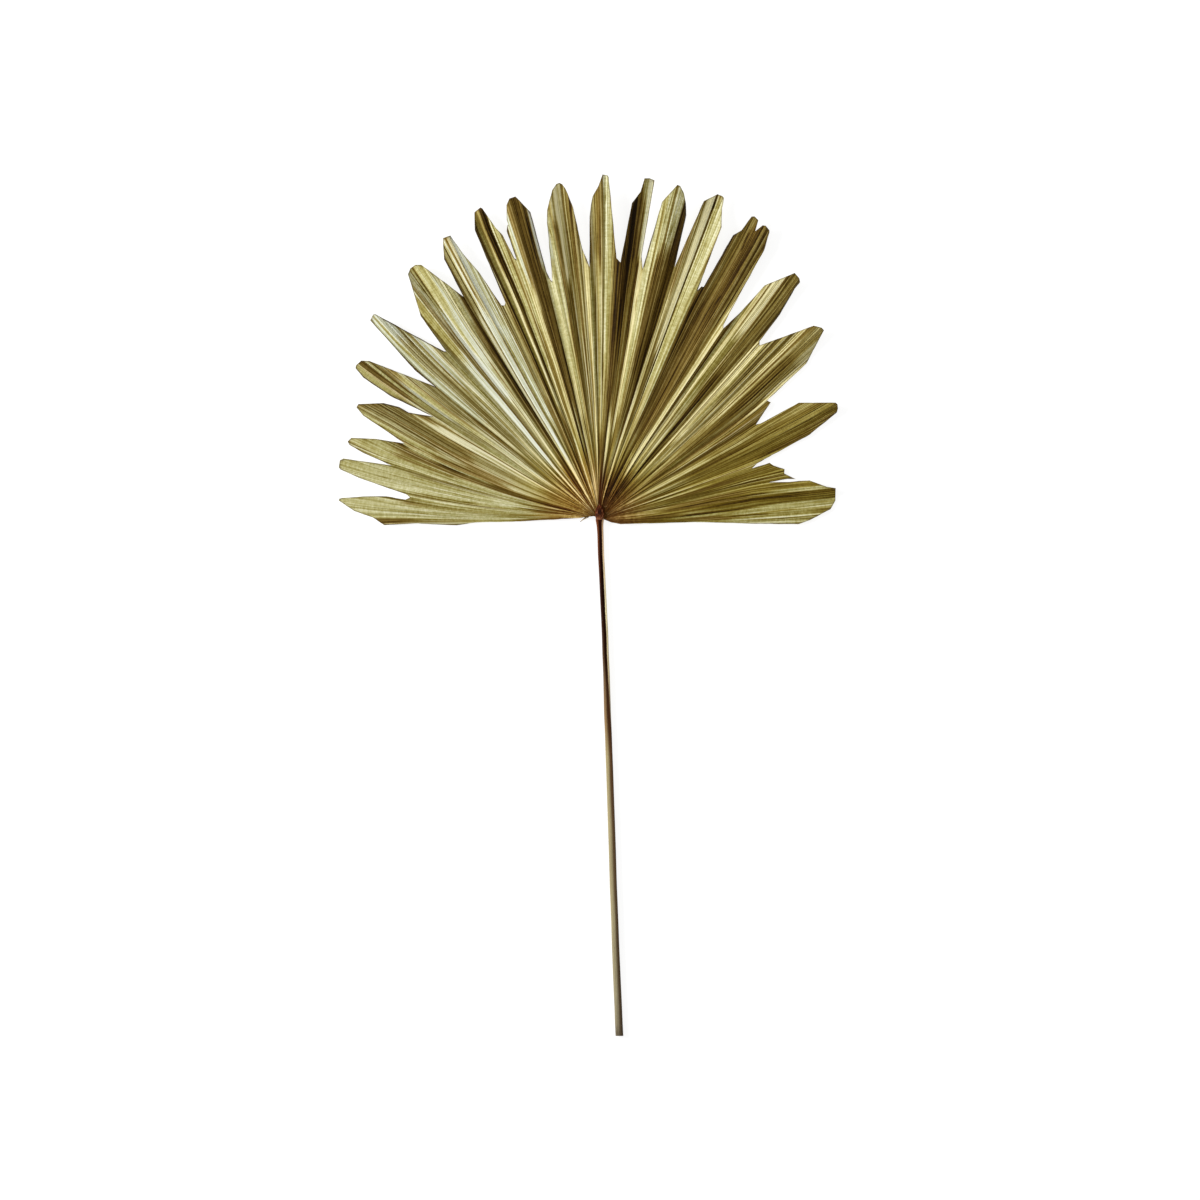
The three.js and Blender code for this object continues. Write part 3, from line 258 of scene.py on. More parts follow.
# Strips and lines along the folds, each where it lies on the dried blade: right and left nominal angle, inner and
# outer radius in mm, tone from 0, near black, to 1, near white, and tint: o olive gold, s silvery sheen, l leaf green,
# b brown. The tones hold painted shade and painted highlight along with the blade's colour: some dark strips are
# painted shadows of folds on their neighbours, the silvery strips a painted reflection of the light, and tones()
# takes only part of the key light's shading out again.
STRIPS = [
    (179.40, 181.40, 133, 168, 0.40, "o"), (180.00, 182.60, 90, 127, 0.46, "o"), (179.40, 181.00, 64, 91, 0.42, "l"), (176.40, 179.60, 70, 192, 0.68, "l"), (174.90, 176.40, 115, 192, 0.66, "l"),
    (174.00, 175.70, 114, 137, 0.27, "b"), (174.70, 176.30, 35, 112, 0.29, "o"), (178.00, 179.80, 52, 68, 0.74, "l"), (179.20, 182.00, 39, 56, 0.30, "b"), (176.00, 179.50, 38, 50, 0.58, "l"),
    (175.60, 181.00, 20, 34, 0.24, "b"), (172.60, 174.60, 42, 134, 0.58, "l"), (171.70, 173.00, 66, 132, 0.34, "o"), (171.40, 172.60, 38, 70, 0.40, "l"), (166.60, 172.00, 70, 196, 0.67, "l"),
    (169.00, 169.30, 105, 175, 0.56, "l"), (167.50, 167.80, 105, 175, 0.54, "l"), (166.30, 168.00, 105, 154, 0.58, "l"), (170.50, 170.90, 84, 172, 0.72, "l"), (165.50, 166.70, 69, 137, 0.36, "o"),
    (166.80, 171.00, 41, 76, 0.74, "l"), (171.00, 173.00, 24, 42, 0.28, "b"), (163.90, 165.60, 158, 192, 0.46, "o"), (162.40, 165.40, 112, 165, 0.66, "l"), (163.90, 164.20, 144, 183, 0.74, "l"),
    (161.40, 163.40, 147, 168, 0.64, "l"), (162.20, 165.60, 62, 113, 0.66, "l"), (160.10, 163.00, 104, 150, 0.38, "b"), (161.60, 162.00, 112, 146, 0.50, "o"), (159.80, 160.60, 140, 153, 0.16, "b"),
    (160.10, 162.40, 78, 112, 0.30, "b"), (159.20, 160.30, 78, 141, 0.78, "l"), (158.60, 162.60, 29, 80, 0.22, "b"), (159.80, 160.60, 105, 115, 0.30, "b"), (157.20, 159.00, 130, 185, 0.60, "l"),
    (158.80, 159.30, 133, 183, 0.16, "b"), (157.70, 158.00, 140, 175, 0.48, "l"), (156.60, 157.70, 126, 175, 0.13, "b"), (151.00, 156.80, 97, 196, 0.27, "b"), (154.60, 155.30, 136, 178, 0.38, "b"),
    (153.20, 153.60, 112, 168, 0.22, "b"), (152.30, 152.60, 105, 164, 0.34, "b"), (151.00, 152.00, 140, 175, 0.14, "b"), (155.80, 157.60, 104, 127, 0.62, "o"), (157.00, 157.40, 105, 123, 0.40, "b"),
    (157.60, 159.10, 66, 127, 0.25, "b"), (154.80, 157.60, 76, 99, 0.33, "b"), (156.40, 158.10, 34, 67, 0.80, "o"), (152.00, 156.40, 64, 105, 0.40, "b"), (152.00, 153.50, 63, 98, 0.52, "o"),
    (155.30, 155.80, 63, 105, 0.28, "b"), (149.30, 151.40, 43, 144, 0.80, "o"), (150.10, 150.40, 63, 133, 0.68, "o"), (148.80, 149.30, 53, 133, 0.34, "b"), (147.30, 148.80, 53, 126, 0.66, "o"),
    (147.80, 148.00, 56, 119, 0.50, "o"), (146.20, 150.20, 135, 210, 0.40, "o"), (149.40, 150.20, 135, 210, 0.26, "b"), (147.70, 148.30, 158, 199, 0.29, "b"), (147.10, 147.40, 158, 188, 0.72, "l"),
    (146.60, 146.90, 150, 189, 0.30, "b"), (146.40, 147.60, 127, 162, 0.50, "l"), (144.40, 146.30, 122, 182, 0.86, "s"), (144.50, 146.10, 43, 125, 0.82, "o"), (145.00, 145.20, 63, 168, 0.70, "s"),
    (144.00, 144.40, 105, 164, 0.42, "b"), (143.30, 143.90, 98, 168, 0.72, "o"), (141.20, 143.40, 120, 161, 0.38, "b"), (142.30, 142.60, 126, 154, 0.52, "o"), (142.10, 143.60, 64, 112, 0.64, "o"),
    (140.90, 142.20, 41, 113, 0.29, "b"), (146.20, 147.20, 41, 119, 0.44, "o"), (147.00, 148.50, 111, 127, 0.66, "l"), (140.90, 141.40, 140, 175, 0.10, "b"), (139.00, 140.90, 140, 224, 0.90, "s"),
    (138.30, 139.20, 181, 224, 0.90, "s"), (137.20, 138.30, 192, 224, 0.88, "s"), (140.00, 140.20, 147, 210, 0.74, "s"), (136.60, 138.80, 133, 190, 0.40, "b"), (137.70, 138.00, 136, 178, 0.30, "b"),
    (139.10, 140.70, 73, 143, 0.78, "o"), (138.90, 139.20, 73, 175, 0.46, "o"), (137.50, 138.40, 78, 133, 0.54, "o"), (136.90, 137.10, 70, 133, 0.34, "b"), (136.10, 136.60, 130, 193, 0.76, "l"),
    (135.80, 136.10, 122, 188, 0.30, "b"), (134.40, 135.80, 133, 183, 0.82, "s"), (135.00, 135.20, 84, 175, 0.60, "o"), (133.50, 134.40, 133, 175, 0.54, "o"), (133.90, 134.10, 133, 172, 0.34, "b"),
    (132.50, 133.40, 115, 168, 0.37, "o"), (131.60, 132.90, 35, 150, 0.27, "b"), (134.00, 135.30, 34, 81, 0.84, "o"), (133.20, 134.00, 41, 115, 0.43, "o"), (135.80, 138.20, 21, 77, 0.50, "o"),
    (139.40, 140.80, 27, 71, 0.60, "o"), (131.20, 132.30, 112, 196, 0.35, "o"), (129.20, 131.30, 41, 151, 0.97, "s"), (130.00, 130.20, 63, 147, 0.84, "s"), (129.40, 131.30, 25, 42, 0.82, "o"),
    (129.30, 131.10, 150, 192, 0.52, "o"), (130.20, 130.50, 150, 192, 0.72, "s"), (129.50, 129.70, 154, 200, 0.30, "b"), (127.90, 129.20, 62, 217, 0.39, "b"), (128.40, 128.60, 84, 210, 0.50, "o"),
    (125.90, 127.90, 104, 176, 0.93, "s"), (124.90, 127.10, 172, 206, 0.84, "s"), (127.10, 127.30, 119, 175, 0.78, "s"), (126.00, 126.20, 168, 204, 0.55, "s"), (125.30, 128.90, 203, 227, 0.50, "o"),
    (126.90, 127.30, 183, 227, 0.14, "b"), (128.20, 128.40, 196, 224, 0.32, "b"), (125.70, 125.90, 199, 224, 0.30, "b"), (125.10, 126.10, 41, 90, 0.82, "o"), (126.20, 127.70, 41, 104, 0.50, "o"),
    (125.00, 125.90, 137, 204, 0.82, "s"), (124.60, 125.00, 98, 207, 0.42, "b"), (124.10, 124.50, 126, 207, 0.76, "o"), (123.20, 124.10, 27, 203, 0.34, "o"), (123.50, 123.70, 91, 196, 0.48, "o"),
    (122.20, 123.30, 27, 192, 0.23, "b"), (121.30, 122.20, 39, 200, 0.06, "b"), (120.30, 121.40, 167, 217, 0.27, "o"), (119.60, 120.70, 168, 234, 0.32, "o"), (120.00, 120.20, 172, 224, 0.48, "o"),
    (120.30, 121.10, 39, 167, 0.88, "o"), (120.10, 120.30, 59, 168, 0.38, "b"), (118.40, 120.00, 39, 169, 0.95, "s"), (119.00, 119.20, 63, 161, 0.76, "s"), (119.20, 119.50, 150, 231, 0.80, "s"),
    (118.40, 119.20, 160, 231, 0.28, "b"), (118.20, 118.40, 77, 224, 0.30, "b"), (117.90, 118.10, 153, 224, 0.74, "o"), (117.30, 117.90, 70, 136, 0.54, "l"), (116.60, 117.90, 133, 227, 0.90, "s"),
    (117.10, 117.30, 140, 210, 0.74, "s"), (115.60, 117.30, 74, 162, 0.87, "s"), (116.40, 116.60, 77, 158, 0.70, "s"), (115.50, 116.60, 160, 210, 0.60, "l"), (115.90, 116.10, 112, 210, 0.36, "b"),
    (116.00, 116.90, 34, 77, 0.50, "o"), (114.90, 115.60, 112, 178, 0.50, "o"), (115.00, 115.20, 63, 168, 0.34, "b"), (112.90, 114.90, 39, 175, 0.37, "b"), (113.70, 114.00, 91, 172, 0.62, "o"),
    (113.00, 113.30, 67, 172, 0.54, "o"), (115.60, 118.60, 20, 43, 0.60, "l"), (111.90, 112.90, 35, 172, 0.08, "b"), (111.70, 112.40, 164, 224, 0.11, "b"), (111.40, 111.80, 60, 227, 0.50, "o"),
    (110.50, 111.40, 39, 241, 0.64, "o"), (110.70, 110.90, 84, 231, 0.48, "o"), (110.20, 110.50, 133, 241, 0.24, "b"), (109.30, 110.20, 98, 241, 0.13, "b"), (109.20, 111.20, 25, 78, 0.28, "b"),
    (108.30, 109.30, 136, 234, 0.84, "s"), (108.60, 108.80, 140, 224, 0.66, "s"), (108.40, 109.30, 69, 137, 0.64, "o"), (106.80, 108.40, 59, 203, 0.48, "o"), (107.90, 108.20, 77, 196, 0.30, "b"),
    (107.50, 107.80, 105, 200, 0.68, "o"), (107.20, 107.40, 77, 192, 0.25, "b"), (106.80, 108.90, 25, 59, 0.68, "l"), (105.90, 107.20, 172, 234, 0.88, "s"), (106.70, 107.20, 175, 218, 0.34, "b"),
    (105.60, 106.90, 46, 171, 0.84, "o"), (106.00, 106.20, 63, 161, 0.70, "o"), (105.10, 105.90, 164, 241, 0.38, "b"), (104.70, 105.60, 39, 157, 0.12, "b"), (102.40, 105.20, 67, 241, 0.22, "b"),
    (103.80, 104.00, 98, 224, 0.32, "b"), (103.70, 104.30, 35, 81, 0.55, "o"), (102.20, 103.10, 39, 217, 0.10, "b"), (101.70, 102.30, 181, 231, 0.93, "s"), (100.40, 102.00, 39, 171, 0.85, "o"),
    (101.10, 101.30, 63, 168, 0.66, "o"), (101.00, 101.80, 137, 189, 0.60, "o"), (98.70, 100.90, 130, 227, 0.85, "s"), (99.70, 99.90, 140, 217, 0.66, "s"), (98.30, 99.10, 46, 158, 0.60, "o"),
    (97.10, 98.30, 60, 217, 0.30, "b"), (97.50, 97.70, 105, 210, 0.44, "o"), (97.40, 99.40, 210, 241, 0.62, "o"), (96.30, 97.20, 161, 245, 0.84, "o"), (96.60, 96.80, 164, 241, 0.50, "b"),
    (96.50, 97.30, 46, 120, 0.16, "b"), (95.30, 96.40, 60, 172, 0.72, "o"), (95.10, 96.30, 168, 245, 0.44, "o"), (95.60, 95.80, 168, 238, 0.62, "o"), (95.40, 95.70, 115, 172, 0.78, "o"),
    (94.00, 95.10, 60, 234, 0.32, "b"), (94.40, 94.60, 98, 224, 0.46, "o"), (93.60, 94.60, 53, 189, 0.40, "o"), (92.10, 93.70, 46, 192, 0.80, "o"), (92.70, 92.90, 70, 178, 0.62, "o"),
    (90.70, 92.20, 53, 181, 0.35, "o"), (91.30, 91.50, 84, 210, 0.48, "o"), (90.60, 92.00, 179, 231, 0.40, "b"), (90.20, 90.60, 158, 234, 0.72, "o"), (89.40, 90.20, 162, 241, 0.43, "b"),
    (89.30, 90.90, 53, 167, 0.72, "o"), (89.90, 90.10, 70, 161, 0.56, "o"), (88.90, 89.30, 122, 248, 0.38, "b"), (88.20, 88.90, 130, 248, 0.88, "o"), (87.90, 88.20, 137, 217, 0.36, "b"),
    (87.40, 87.90, 102, 217, 0.62, "o"), (87.10, 87.40, 98, 210, 0.34, "b"), (86.20, 87.10, 67, 189, 0.47, "o"), (86.50, 86.70, 70, 186, 0.32, "b"), (87.80, 88.90, 60, 136, 0.58, "o"),
    (85.10, 86.30, 73, 189, 0.26, "b"), (84.40, 85.40, 67, 189, 0.15, "b"), (85.00, 91.50, 39, 59, 0.34, "b"), (83.60, 85.20, 172, 241, 0.13, "b"), (83.40, 84.00, 146, 224, 0.03, "b"),
    (83.80, 84.50, 88, 153, 0.03, "b"), (84.30, 85.30, 39, 92, 0.12, "b"), (82.70, 83.60, 73, 224, 0.29, "b"), (81.30, 82.90, 73, 248, 0.36, "b"), (82.10, 82.30, 91, 231, 0.26, "b"),
    (81.20, 82.10, 179, 248, 0.80, "o"), (81.50, 81.70, 183, 245, 0.56, "b"), (81.00, 81.50, 81, 185, 0.40, "o"), (82.50, 84.20, 29, 74, 0.84, "o"), (81.00, 82.60, 34, 76, 0.44, "o"),
    (80.20, 81.20, 60, 178, 0.86, "o"), (79.90, 80.30, 81, 172, 0.60, "o"), (78.70, 80.00, 73, 234, 0.85, "o"), (79.20, 79.40, 84, 224, 0.68, "o"), (78.40, 78.70, 73, 238, 0.52, "o"),
    (77.40, 78.40, 172, 241, 0.70, "o"), (77.70, 78.10, 73, 189, 0.20, "b"), (76.80, 77.60, 67, 245, 0.42, "o"), (76.90, 77.20, 133, 241, 0.30, "b"), (75.30, 76.80, 183, 241, 0.60, "s"),
    (75.10, 76.60, 67, 188, 0.33, "o"), (75.90, 76.10, 77, 231, 0.46, "o"), (73.80, 75.40, 60, 241, 0.12, "b"), (73.80, 74.80, 34, 70, 0.10, "b"), (76.00, 79.60, 41, 70, 0.50, "o"),
    (72.40, 74.00, 29, 98, 0.78, "o"), (72.40, 74.00, 94, 172, 0.64, "o"), (73.00, 73.20, 42, 168, 0.54, "o"), (73.20, 74.00, 137, 192, 0.52, "o"), (72.40, 73.20, 168, 234, 0.38, "b"),
    (71.60, 72.50, 39, 248, 0.30, "b"), (70.80, 71.60, 78, 248, 0.56, "o"), (71.00, 71.20, 91, 241, 0.38, "b"), (70.20, 70.70, 87, 248, 0.10, "b"), (68.30, 70.20, 67, 241, 0.82, "o"),
    (69.30, 69.50, 84, 231, 0.68, "o"), (68.70, 68.90, 105, 231, 0.72, "l"), (68.20, 70.40, 36, 77, 0.64, "o"), (67.40, 68.40, 78, 183, 0.55, "s"), (66.50, 67.50, 39, 183, 0.28, "b"),
    (65.80, 66.70, 53, 234, 0.13, "b"), (62.30, 65.90, 67, 245, 0.27, "b"), (64.90, 65.10, 98, 238, 0.38, "b"), (64.00, 64.20, 84, 234, 0.20, "b"), (63.30, 63.60, 140, 241, 0.40, "b"),
    (65.80, 66.90, 39, 64, 0.54, "o"), (63.00, 65.20, 231, 245, 0.50, "o"), (62.40, 63.10, 164, 238, 0.17, "b"), (59.60, 62.40, 67, 241, 0.33, "b"), (60.80, 61.10, 165, 241, 0.62, "o"),
    (61.70, 61.90, 105, 231, 0.24, "b"), (60.00, 60.40, 105, 231, 0.20, "b"), (61.10, 62.90, 25, 55, 0.70, "o"), (59.60, 59.90, 140, 231, 0.55, "o"), (59.20, 59.50, 133, 227, 0.11, "b"),
    (58.40, 59.20, 123, 220, 0.62, "o"), (59.40, 60.60, 39, 140, 0.20, "b"), (58.60, 59.40, 73, 158, 0.52, "o"), (57.20, 58.80, 32, 182, 0.88, "o"), (57.90, 58.10, 49, 168, 0.72, "o"),
    (58.20, 59.80, 41, 71, 0.74, "o"), (56.20, 57.20, 32, 178, 0.20, "b"), (56.70, 56.90, 63, 172, 0.34, "o"), (54.30, 56.20, 32, 203, 0.80, "o"), (55.10, 55.30, 63, 196, 0.66, "o"),
    (54.10, 54.40, 133, 220, 0.40, "b"), (53.80, 54.10, 137, 220, 0.74, "o"), (53.50, 53.80, 137, 224, 0.42, "b"), (52.70, 53.50, 67, 164, 0.42, "o"), (52.80, 53.50, 161, 227, 0.66, "o"),
    (52.50, 52.80, 119, 231, 0.12, "b"), (52.10, 52.50, 119, 231, 0.66, "o"), (51.80, 52.10, 119, 231, 0.18, "b"), (51.70, 52.70, 39, 73, 0.70, "o"), (49.00, 51.90, 102, 231, 0.26, "o"),
    (50.70, 50.90, 140, 224, 0.38, "o"), (50.10, 51.30, 39, 144, 0.11, "b"), (49.30, 50.20, 165, 231, 0.31, "b"), (48.80, 49.70, 53, 158, 0.10, "b"), (47.60, 49.30, 155, 182, 0.34, "o"),
    (47.90, 48.80, 39, 161, 0.86, "o"), (48.20, 50.00, 25, 46, 0.80, "o"), (47.60, 47.90, 63, 154, 0.34, "b"), (45.90, 47.60, 78, 182, 0.84, "o"), (46.60, 46.80, 91, 175, 0.70, "o"),
    (45.70, 45.90, 119, 183, 0.32, "b"), (45.30, 45.60, 98, 183, 0.66, "o"), (45.00, 45.20, 105, 183, 0.38, "b"), (44.30, 45.90, 50, 119, 0.64, "o"), (44.40, 44.90, 102, 189, 0.42, "o"),
    (43.60, 44.30, 98, 196, 0.75, "o"), (42.90, 43.60, 98, 200, 0.40, "o"), (41.60, 42.90, 59, 210, 0.78, "o"), (42.00, 42.20, 77, 203, 0.60, "o"), (41.10, 41.60, 119, 214, 0.17, "b"),
    (40.70, 41.10, 73, 214, 0.62, "o"), (38.90, 40.70, 98, 214, 0.37, "o"), (39.70, 39.90, 105, 210, 0.50, "o"), (38.30, 38.90, 171, 214, 0.70, "l"), (37.20, 38.30, 181, 210, 0.54, "o"),
    (37.60, 37.80, 175, 210, 0.34, "b"), (36.10, 39.60, 123, 182, 0.26, "o"), (35.90, 37.20, 136, 189, 0.15, "b"), (35.00, 36.10, 140, 192, 0.80, "o"), (34.90, 40.00, 41, 130, 0.33, "b"),
    (38.20, 38.40, 56, 133, 0.44, "o"), (36.00, 38.60, 56, 78, 0.28, "l"), (36.60, 36.80, 70, 133, 0.24, "b"), (40.40, 41.60, 50, 126, 0.50, "o"), (33.80, 35.40, 129, 154, 0.54, "o"),
    (33.20, 34.60, 59, 130, 0.62, "o"), (31.80, 33.90, 95, 144, 0.35, "b"), (32.70, 32.90, 84, 133, 0.46, "o"), (31.70, 33.20, 39, 98, 0.35, "b"), (30.50, 31.50, 78, 134, 0.60, "o"),
    (29.40, 30.30, 120, 175, 0.34, "o"), (29.70, 29.90, 112, 168, 0.50, "o"), (28.80, 29.40, 98, 178, 0.62, "o"), (27.60, 28.70, 133, 182, 0.50, "o"), (28.00, 28.20, 133, 178, 0.36, "b"),
    (24.40, 27.60, 73, 196, 0.33, "b"), (26.40, 26.60, 84, 186, 0.42, "o"), (25.20, 25.50, 84, 182, 0.26, "b"), (21.60, 24.50, 98, 196, 0.30, "b"), (24.30, 24.80, 150, 196, 0.44, "o"),
    (22.20, 23.30, 137, 178, 0.32, "b"), (22.70, 22.90, 91, 175, 0.40, "o"), (28.40, 30.60, 38, 87, 0.62, "o"), (22.00, 27.00, 67, 140, 0.36, "o"), (24.70, 24.90, 63, 140, 0.28, "b"),
    (20.70, 21.70, 59, 120, 0.58, "o"), (19.90, 20.50, 67, 112, 0.40, "b"), (18.90, 19.60, 59, 112, 0.50, "o"), (17.90, 18.90, 50, 112, 0.54, "o"), (14.20, 18.30, 78, 144, 0.42, "o"),
    (16.70, 17.00, 84, 133, 0.32, "b"), (15.30, 15.60, 77, 133, 0.50, "o"), (15.70, 17.60, 50, 98, 0.32, "b"), (13.90, 14.60, 84, 137, 0.56, "o"), (13.30, 13.80, 98, 140, 0.20, "b"),
    (12.70, 13.30, 105, 140, 0.58, "o"), (12.30, 12.70, 112, 140, 0.24, "b"), (11.60, 12.40, 120, 144, 0.86, "o"), (10.00, 11.70, 95, 160, 0.46, "o"), (10.70, 10.90, 105, 150, 0.34, "b"),
    (9.30, 9.90, 123, 168, 0.24, "b"), (8.30, 9.20, 120, 172, 0.60, "l"), (5.00, 8.30, 112, 175, 0.32, "o"), (7.10, 7.40, 70, 168, 0.24, "b"), (6.20, 6.40, 84, 164, 0.40, "o"),
    (6.60, 10.80, 43, 119, 0.31, "b"), (9.00, 9.20, 56, 112, 0.40, "o"), (3.10, 5.10, 115, 172, 0.62, "l"), (4.10, 4.30, 112, 164, 0.44, "o"), (-1.00, 4.40, 102, 150, 0.60, "l"),
    (3.10, 4.00, 87, 127, 0.54, "l"), (2.60, 3.20, 115, 144, 0.34, "o"), (2.00, 2.70, 91, 119, 0.32, "o"), (1.30, 2.10, 78, 98, 0.34, "b"), (-2.00, 1.60, 88, 150, 0.62, "l"),
    (0.30, 0.60, 98, 144, 0.48, "o"), (4.80, 5.70, 59, 102, 0.14, "b"), (3.40, 4.80, 46, 85, 0.62, "l"), (1.40, 3.60, 57, 85, 0.38, "b"), (-1.00, 1.40, 39, 78, 0.62, "l"),
    (1.10, 2.50, 46, 64, 0.30, "o"), (7.00, 7.70, 23, 105, 0.48, "o"), (5.50, 6.80, 23, 55, 0.20, "b"), (1.50, 5.50, 23, 49, 0.38, "o"), (118.20, 120.70, 11, 42, 0.78, "o"),
    (129.40, 131.70, 14, 28, 0.70, "o"), (138.60, 140.70, 17, 28, 0.58, "o"), (149.20, 150.60, 27, 46, 0.70, "o"), (159.20, 161.40, 17, 32, 0.62, "o"), (94.00, 108.80, 10, 29, 0.60, "l"),
    (99.60, 101.00, 14, 42, 0.72, "l"), (109.20, 113.40, 13, 28, 0.24, "b"), (114.20, 118.00, 13, 31, 0.40, "b"), (123.00, 129.20, 14, 42, 0.24, "b"), (132.40, 137.60, 14, 31, 0.36, "b"),
    (163.00, 168.00, 14, 28, 0.34, "b"), (82.30, 84.00, 14, 32, 0.66, "o"), (74.60, 82.20, 11, 32, 0.14, "b"), (77.90, 78.80, 17, 42, 0.46, "o"), (72.40, 74.60, 13, 32, 0.74, "o"),
    (63.40, 72.20, 11, 32, 0.14, "b"), (66.40, 67.60, 15, 42, 0.46, "o"), (60.80, 62.90, 14, 29, 0.70, "o"), (51.00, 60.60, 11, 32, 0.16, "b"), (54.90, 56.20, 18, 38, 0.62, "o"),
    (48.00, 50.40, 11, 29, 0.80, "o"), (38.00, 47.80, 11, 28, 0.26, "b"), (42.20, 43.60, 15, 42, 0.48, "o"), (34.60, 36.00, 15, 42, 0.46, "o"), (28.20, 29.60, 15, 41, 0.46, "o"),
    (16.00, 20.00, 11, 24, 0.28, "b"), (6.00, 9.00, 10, 28, 0.50, "o"), (174.60, 175.80, 64, 118, 0.14, "b"), (171.60, 172.20, 91, 127, 0.22, "b"), (165.20, 166.00, 83, 105, 0.24, "b"),
    (159.90, 160.90, 98, 120, 0.12, "b"), (158.30, 159.30, 63, 125, 0.22, "b"), (161.80, 163.20, 105, 148, 0.30, "b"), (157.40, 158.20, 118, 183, 0.58, "l"), (156.60, 157.20, 126, 150, 0.10, "b"),
    (151.50, 155.00, 42, 97, 0.52, "o"), (156.60, 157.90, 112, 127, 0.56, "o"), (180.00, 181.40, 133, 158, 0.28, "b"), (148.60, 149.60, 167, 204, 0.60, "l"), (147.30, 148.50, 158, 203, 0.24, "b"),
    (146.70, 147.30, 158, 189, 0.56, "l"), (144.80, 146.50, 158, 183, 0.34, "b"), (144.50, 145.90, 105, 158, 0.72, "s"), (141.20, 143.60, 115, 164, 0.46, "o"), (139.00, 140.90, 105, 224, 0.68, "s"),
    (139.50, 139.90, 178, 203, 0.44, "l"), (139.10, 139.50, 158, 183, 0.40, "l"), (137.20, 139.40, 183, 210, 0.74, "s"), (136.80, 138.90, 105, 181, 0.32, "b"), (136.50, 136.90, 150, 192, 0.66, "s"),
    (134.40, 135.90, 136, 181, 0.68, "s"), (129.40, 131.30, 66, 150, 0.84, "s"), (130.10, 130.30, 70, 148, 0.66, "s"), (129.50, 131.30, 150, 200, 0.46, "l"), (125.20, 128.70, 183, 227, 0.58, "l"),
    (127.80, 128.00, 196, 224, 0.36, "b"), (127.20, 127.40, 196, 227, 0.30, "b"), (126.20, 127.80, 112, 183, 0.82, "s"), (126.20, 126.90, 140, 183, 0.56, "l"), (124.40, 125.50, 133, 210, 0.74, "s"),
    (124.70, 124.90, 133, 203, 0.56, "o"), (122.40, 124.00, 162, 203, 0.46, "l"), (118.30, 118.70, 144, 224, 0.78, "o"), (117.00, 118.10, 147, 210, 0.70, "s"), (116.90, 117.80, 98, 147, 0.58, "l"),
    (115.30, 117.20, 91, 154, 0.78, "s"), (115.20, 116.90, 155, 203, 0.62, "l"), (113.10, 114.90, 94, 167, 0.48, "o"), (111.20, 111.90, 105, 225, 0.50, "l"), (110.60, 111.10, 91, 203, 0.78, "o"),
    (108.20, 109.30, 105, 231, 0.68, "l"), (104.30, 105.00, 168, 231, 0.28, "b"), (100.20, 101.80, 76, 183, 0.80, "o"), (99.30, 100.10, 77, 183, 0.56, "l"), (98.40, 99.20, 140, 217, 0.74, "s"),
    (98.30, 99.20, 70, 144, 0.66, "o"), (95.40, 96.60, 77, 168, 0.62, "o"), (89.90, 91.20, 165, 231, 0.60, "o"), (80.10, 81.10, 105, 183, 0.93, "o"), (78.80, 80.10, 84, 227, 0.78, "l"),
    (81.50, 82.40, 204, 245, 0.56, "l"), (75.40, 78.00, 70, 183, 0.36, "o"), (77.20, 78.00, 70, 183, 0.48, "o"), (75.40, 77.00, 200, 241, 0.52, "l"), (70.90, 71.80, 130, 245, 0.80, "o"),
    (67.40, 68.30, 78, 183, 0.54, "l"), (63.80, 65.60, 172, 241, 0.36, "o"), (60.80, 61.20, 165, 241, 0.48, "o"), (52.40, 54.00, 162, 224, 0.78, "o"), (53.00, 53.20, 168, 217, 0.58, "o"),
    (54.10, 54.30, 164, 220, 0.36, "b"), (52.00, 52.30, 140, 224, 0.26, "b"), (52.60, 54.40, 91, 161, 0.50, "l"), (49.60, 51.90, 136, 223, 0.34, "o"), (36.40, 41.00, 70, 174, 0.34, "o"),
    (35.60, 41.20, 175, 210, 0.56, "o"), (40.60, 40.90, 168, 203, 0.36, "b"), (35.20, 36.30, 144, 183, 0.88, "o"), (20.50, 21.90, 56, 118, 0.60, "o"), (23.40, 27.20, 84, 183, 0.36, "o"),
    (9.20, 10.80, 105, 158, 0.46, "o"), (8.10, 8.50, 105, 161, 0.62, "o"), (6.00, 7.90, 77, 164, 0.32, "o"), (70.60, 70.90, 126, 245, 0.66, "o"), (70.36, 70.62, 126, 245, 0.14, "b"),
    (70.10, 70.36, 126, 245, 0.70, "o"), (71.90, 72.40, 133, 245, 0.36, "o"), (87.80, 89.00, 133, 248, 0.78, "o"), (88.30, 88.50, 140, 238, 0.62, "o"), (81.60, 82.30, 207, 245, 0.58, "o"),
    (136.80, 138.90, 105, 181, 0.44, "o"), (147.30, 148.50, 158, 203, 0.32, "b"), (118.50, 119.90, 42, 168, 0.84, "s"), (119.30, 119.50, 63, 164, 0.60, "s"), (105.60, 106.90, 46, 171, 0.74, "o"),
    (100.20, 101.80, 76, 183, 0.95, "o"), (96.50, 97.40, 164, 241, 0.95, "o"), (109.40, 110.30, 175, 238, 0.20, "b"), (117.00, 118.10, 147, 210, 0.82, "s"), (115.20, 116.90, 155, 203, 0.66, "s"),
    (87.90, 89.00, 133, 248, 0.90, "l"), (81.40, 82.50, 77, 183, 0.32, "b"), (70.90, 71.80, 130, 245, 0.95, "o"), (70.62, 70.90, 126, 245, 0.85, "o"), (70.40, 70.62, 126, 245, 0.12, "b"),
    (70.10, 70.36, 126, 245, 0.85, "o"), (68.40, 70.10, 105, 241, 0.82, "o"), (62.40, 63.20, 168, 238, 0.34, "b"), (60.80, 61.20, 165, 241, 0.40, "o"), (55.40, 56.10, 105, 203, 0.62, "l"),
    (52.40, 54.00, 162, 224, 0.92, "o"), (53.00, 53.20, 168, 217, 0.66, "o"), (54.10, 54.30, 164, 220, 0.36, "b"), (48.00, 48.80, 56, 161, 0.72, "o"), (46.20, 47.40, 77, 172, 0.84, "o"),
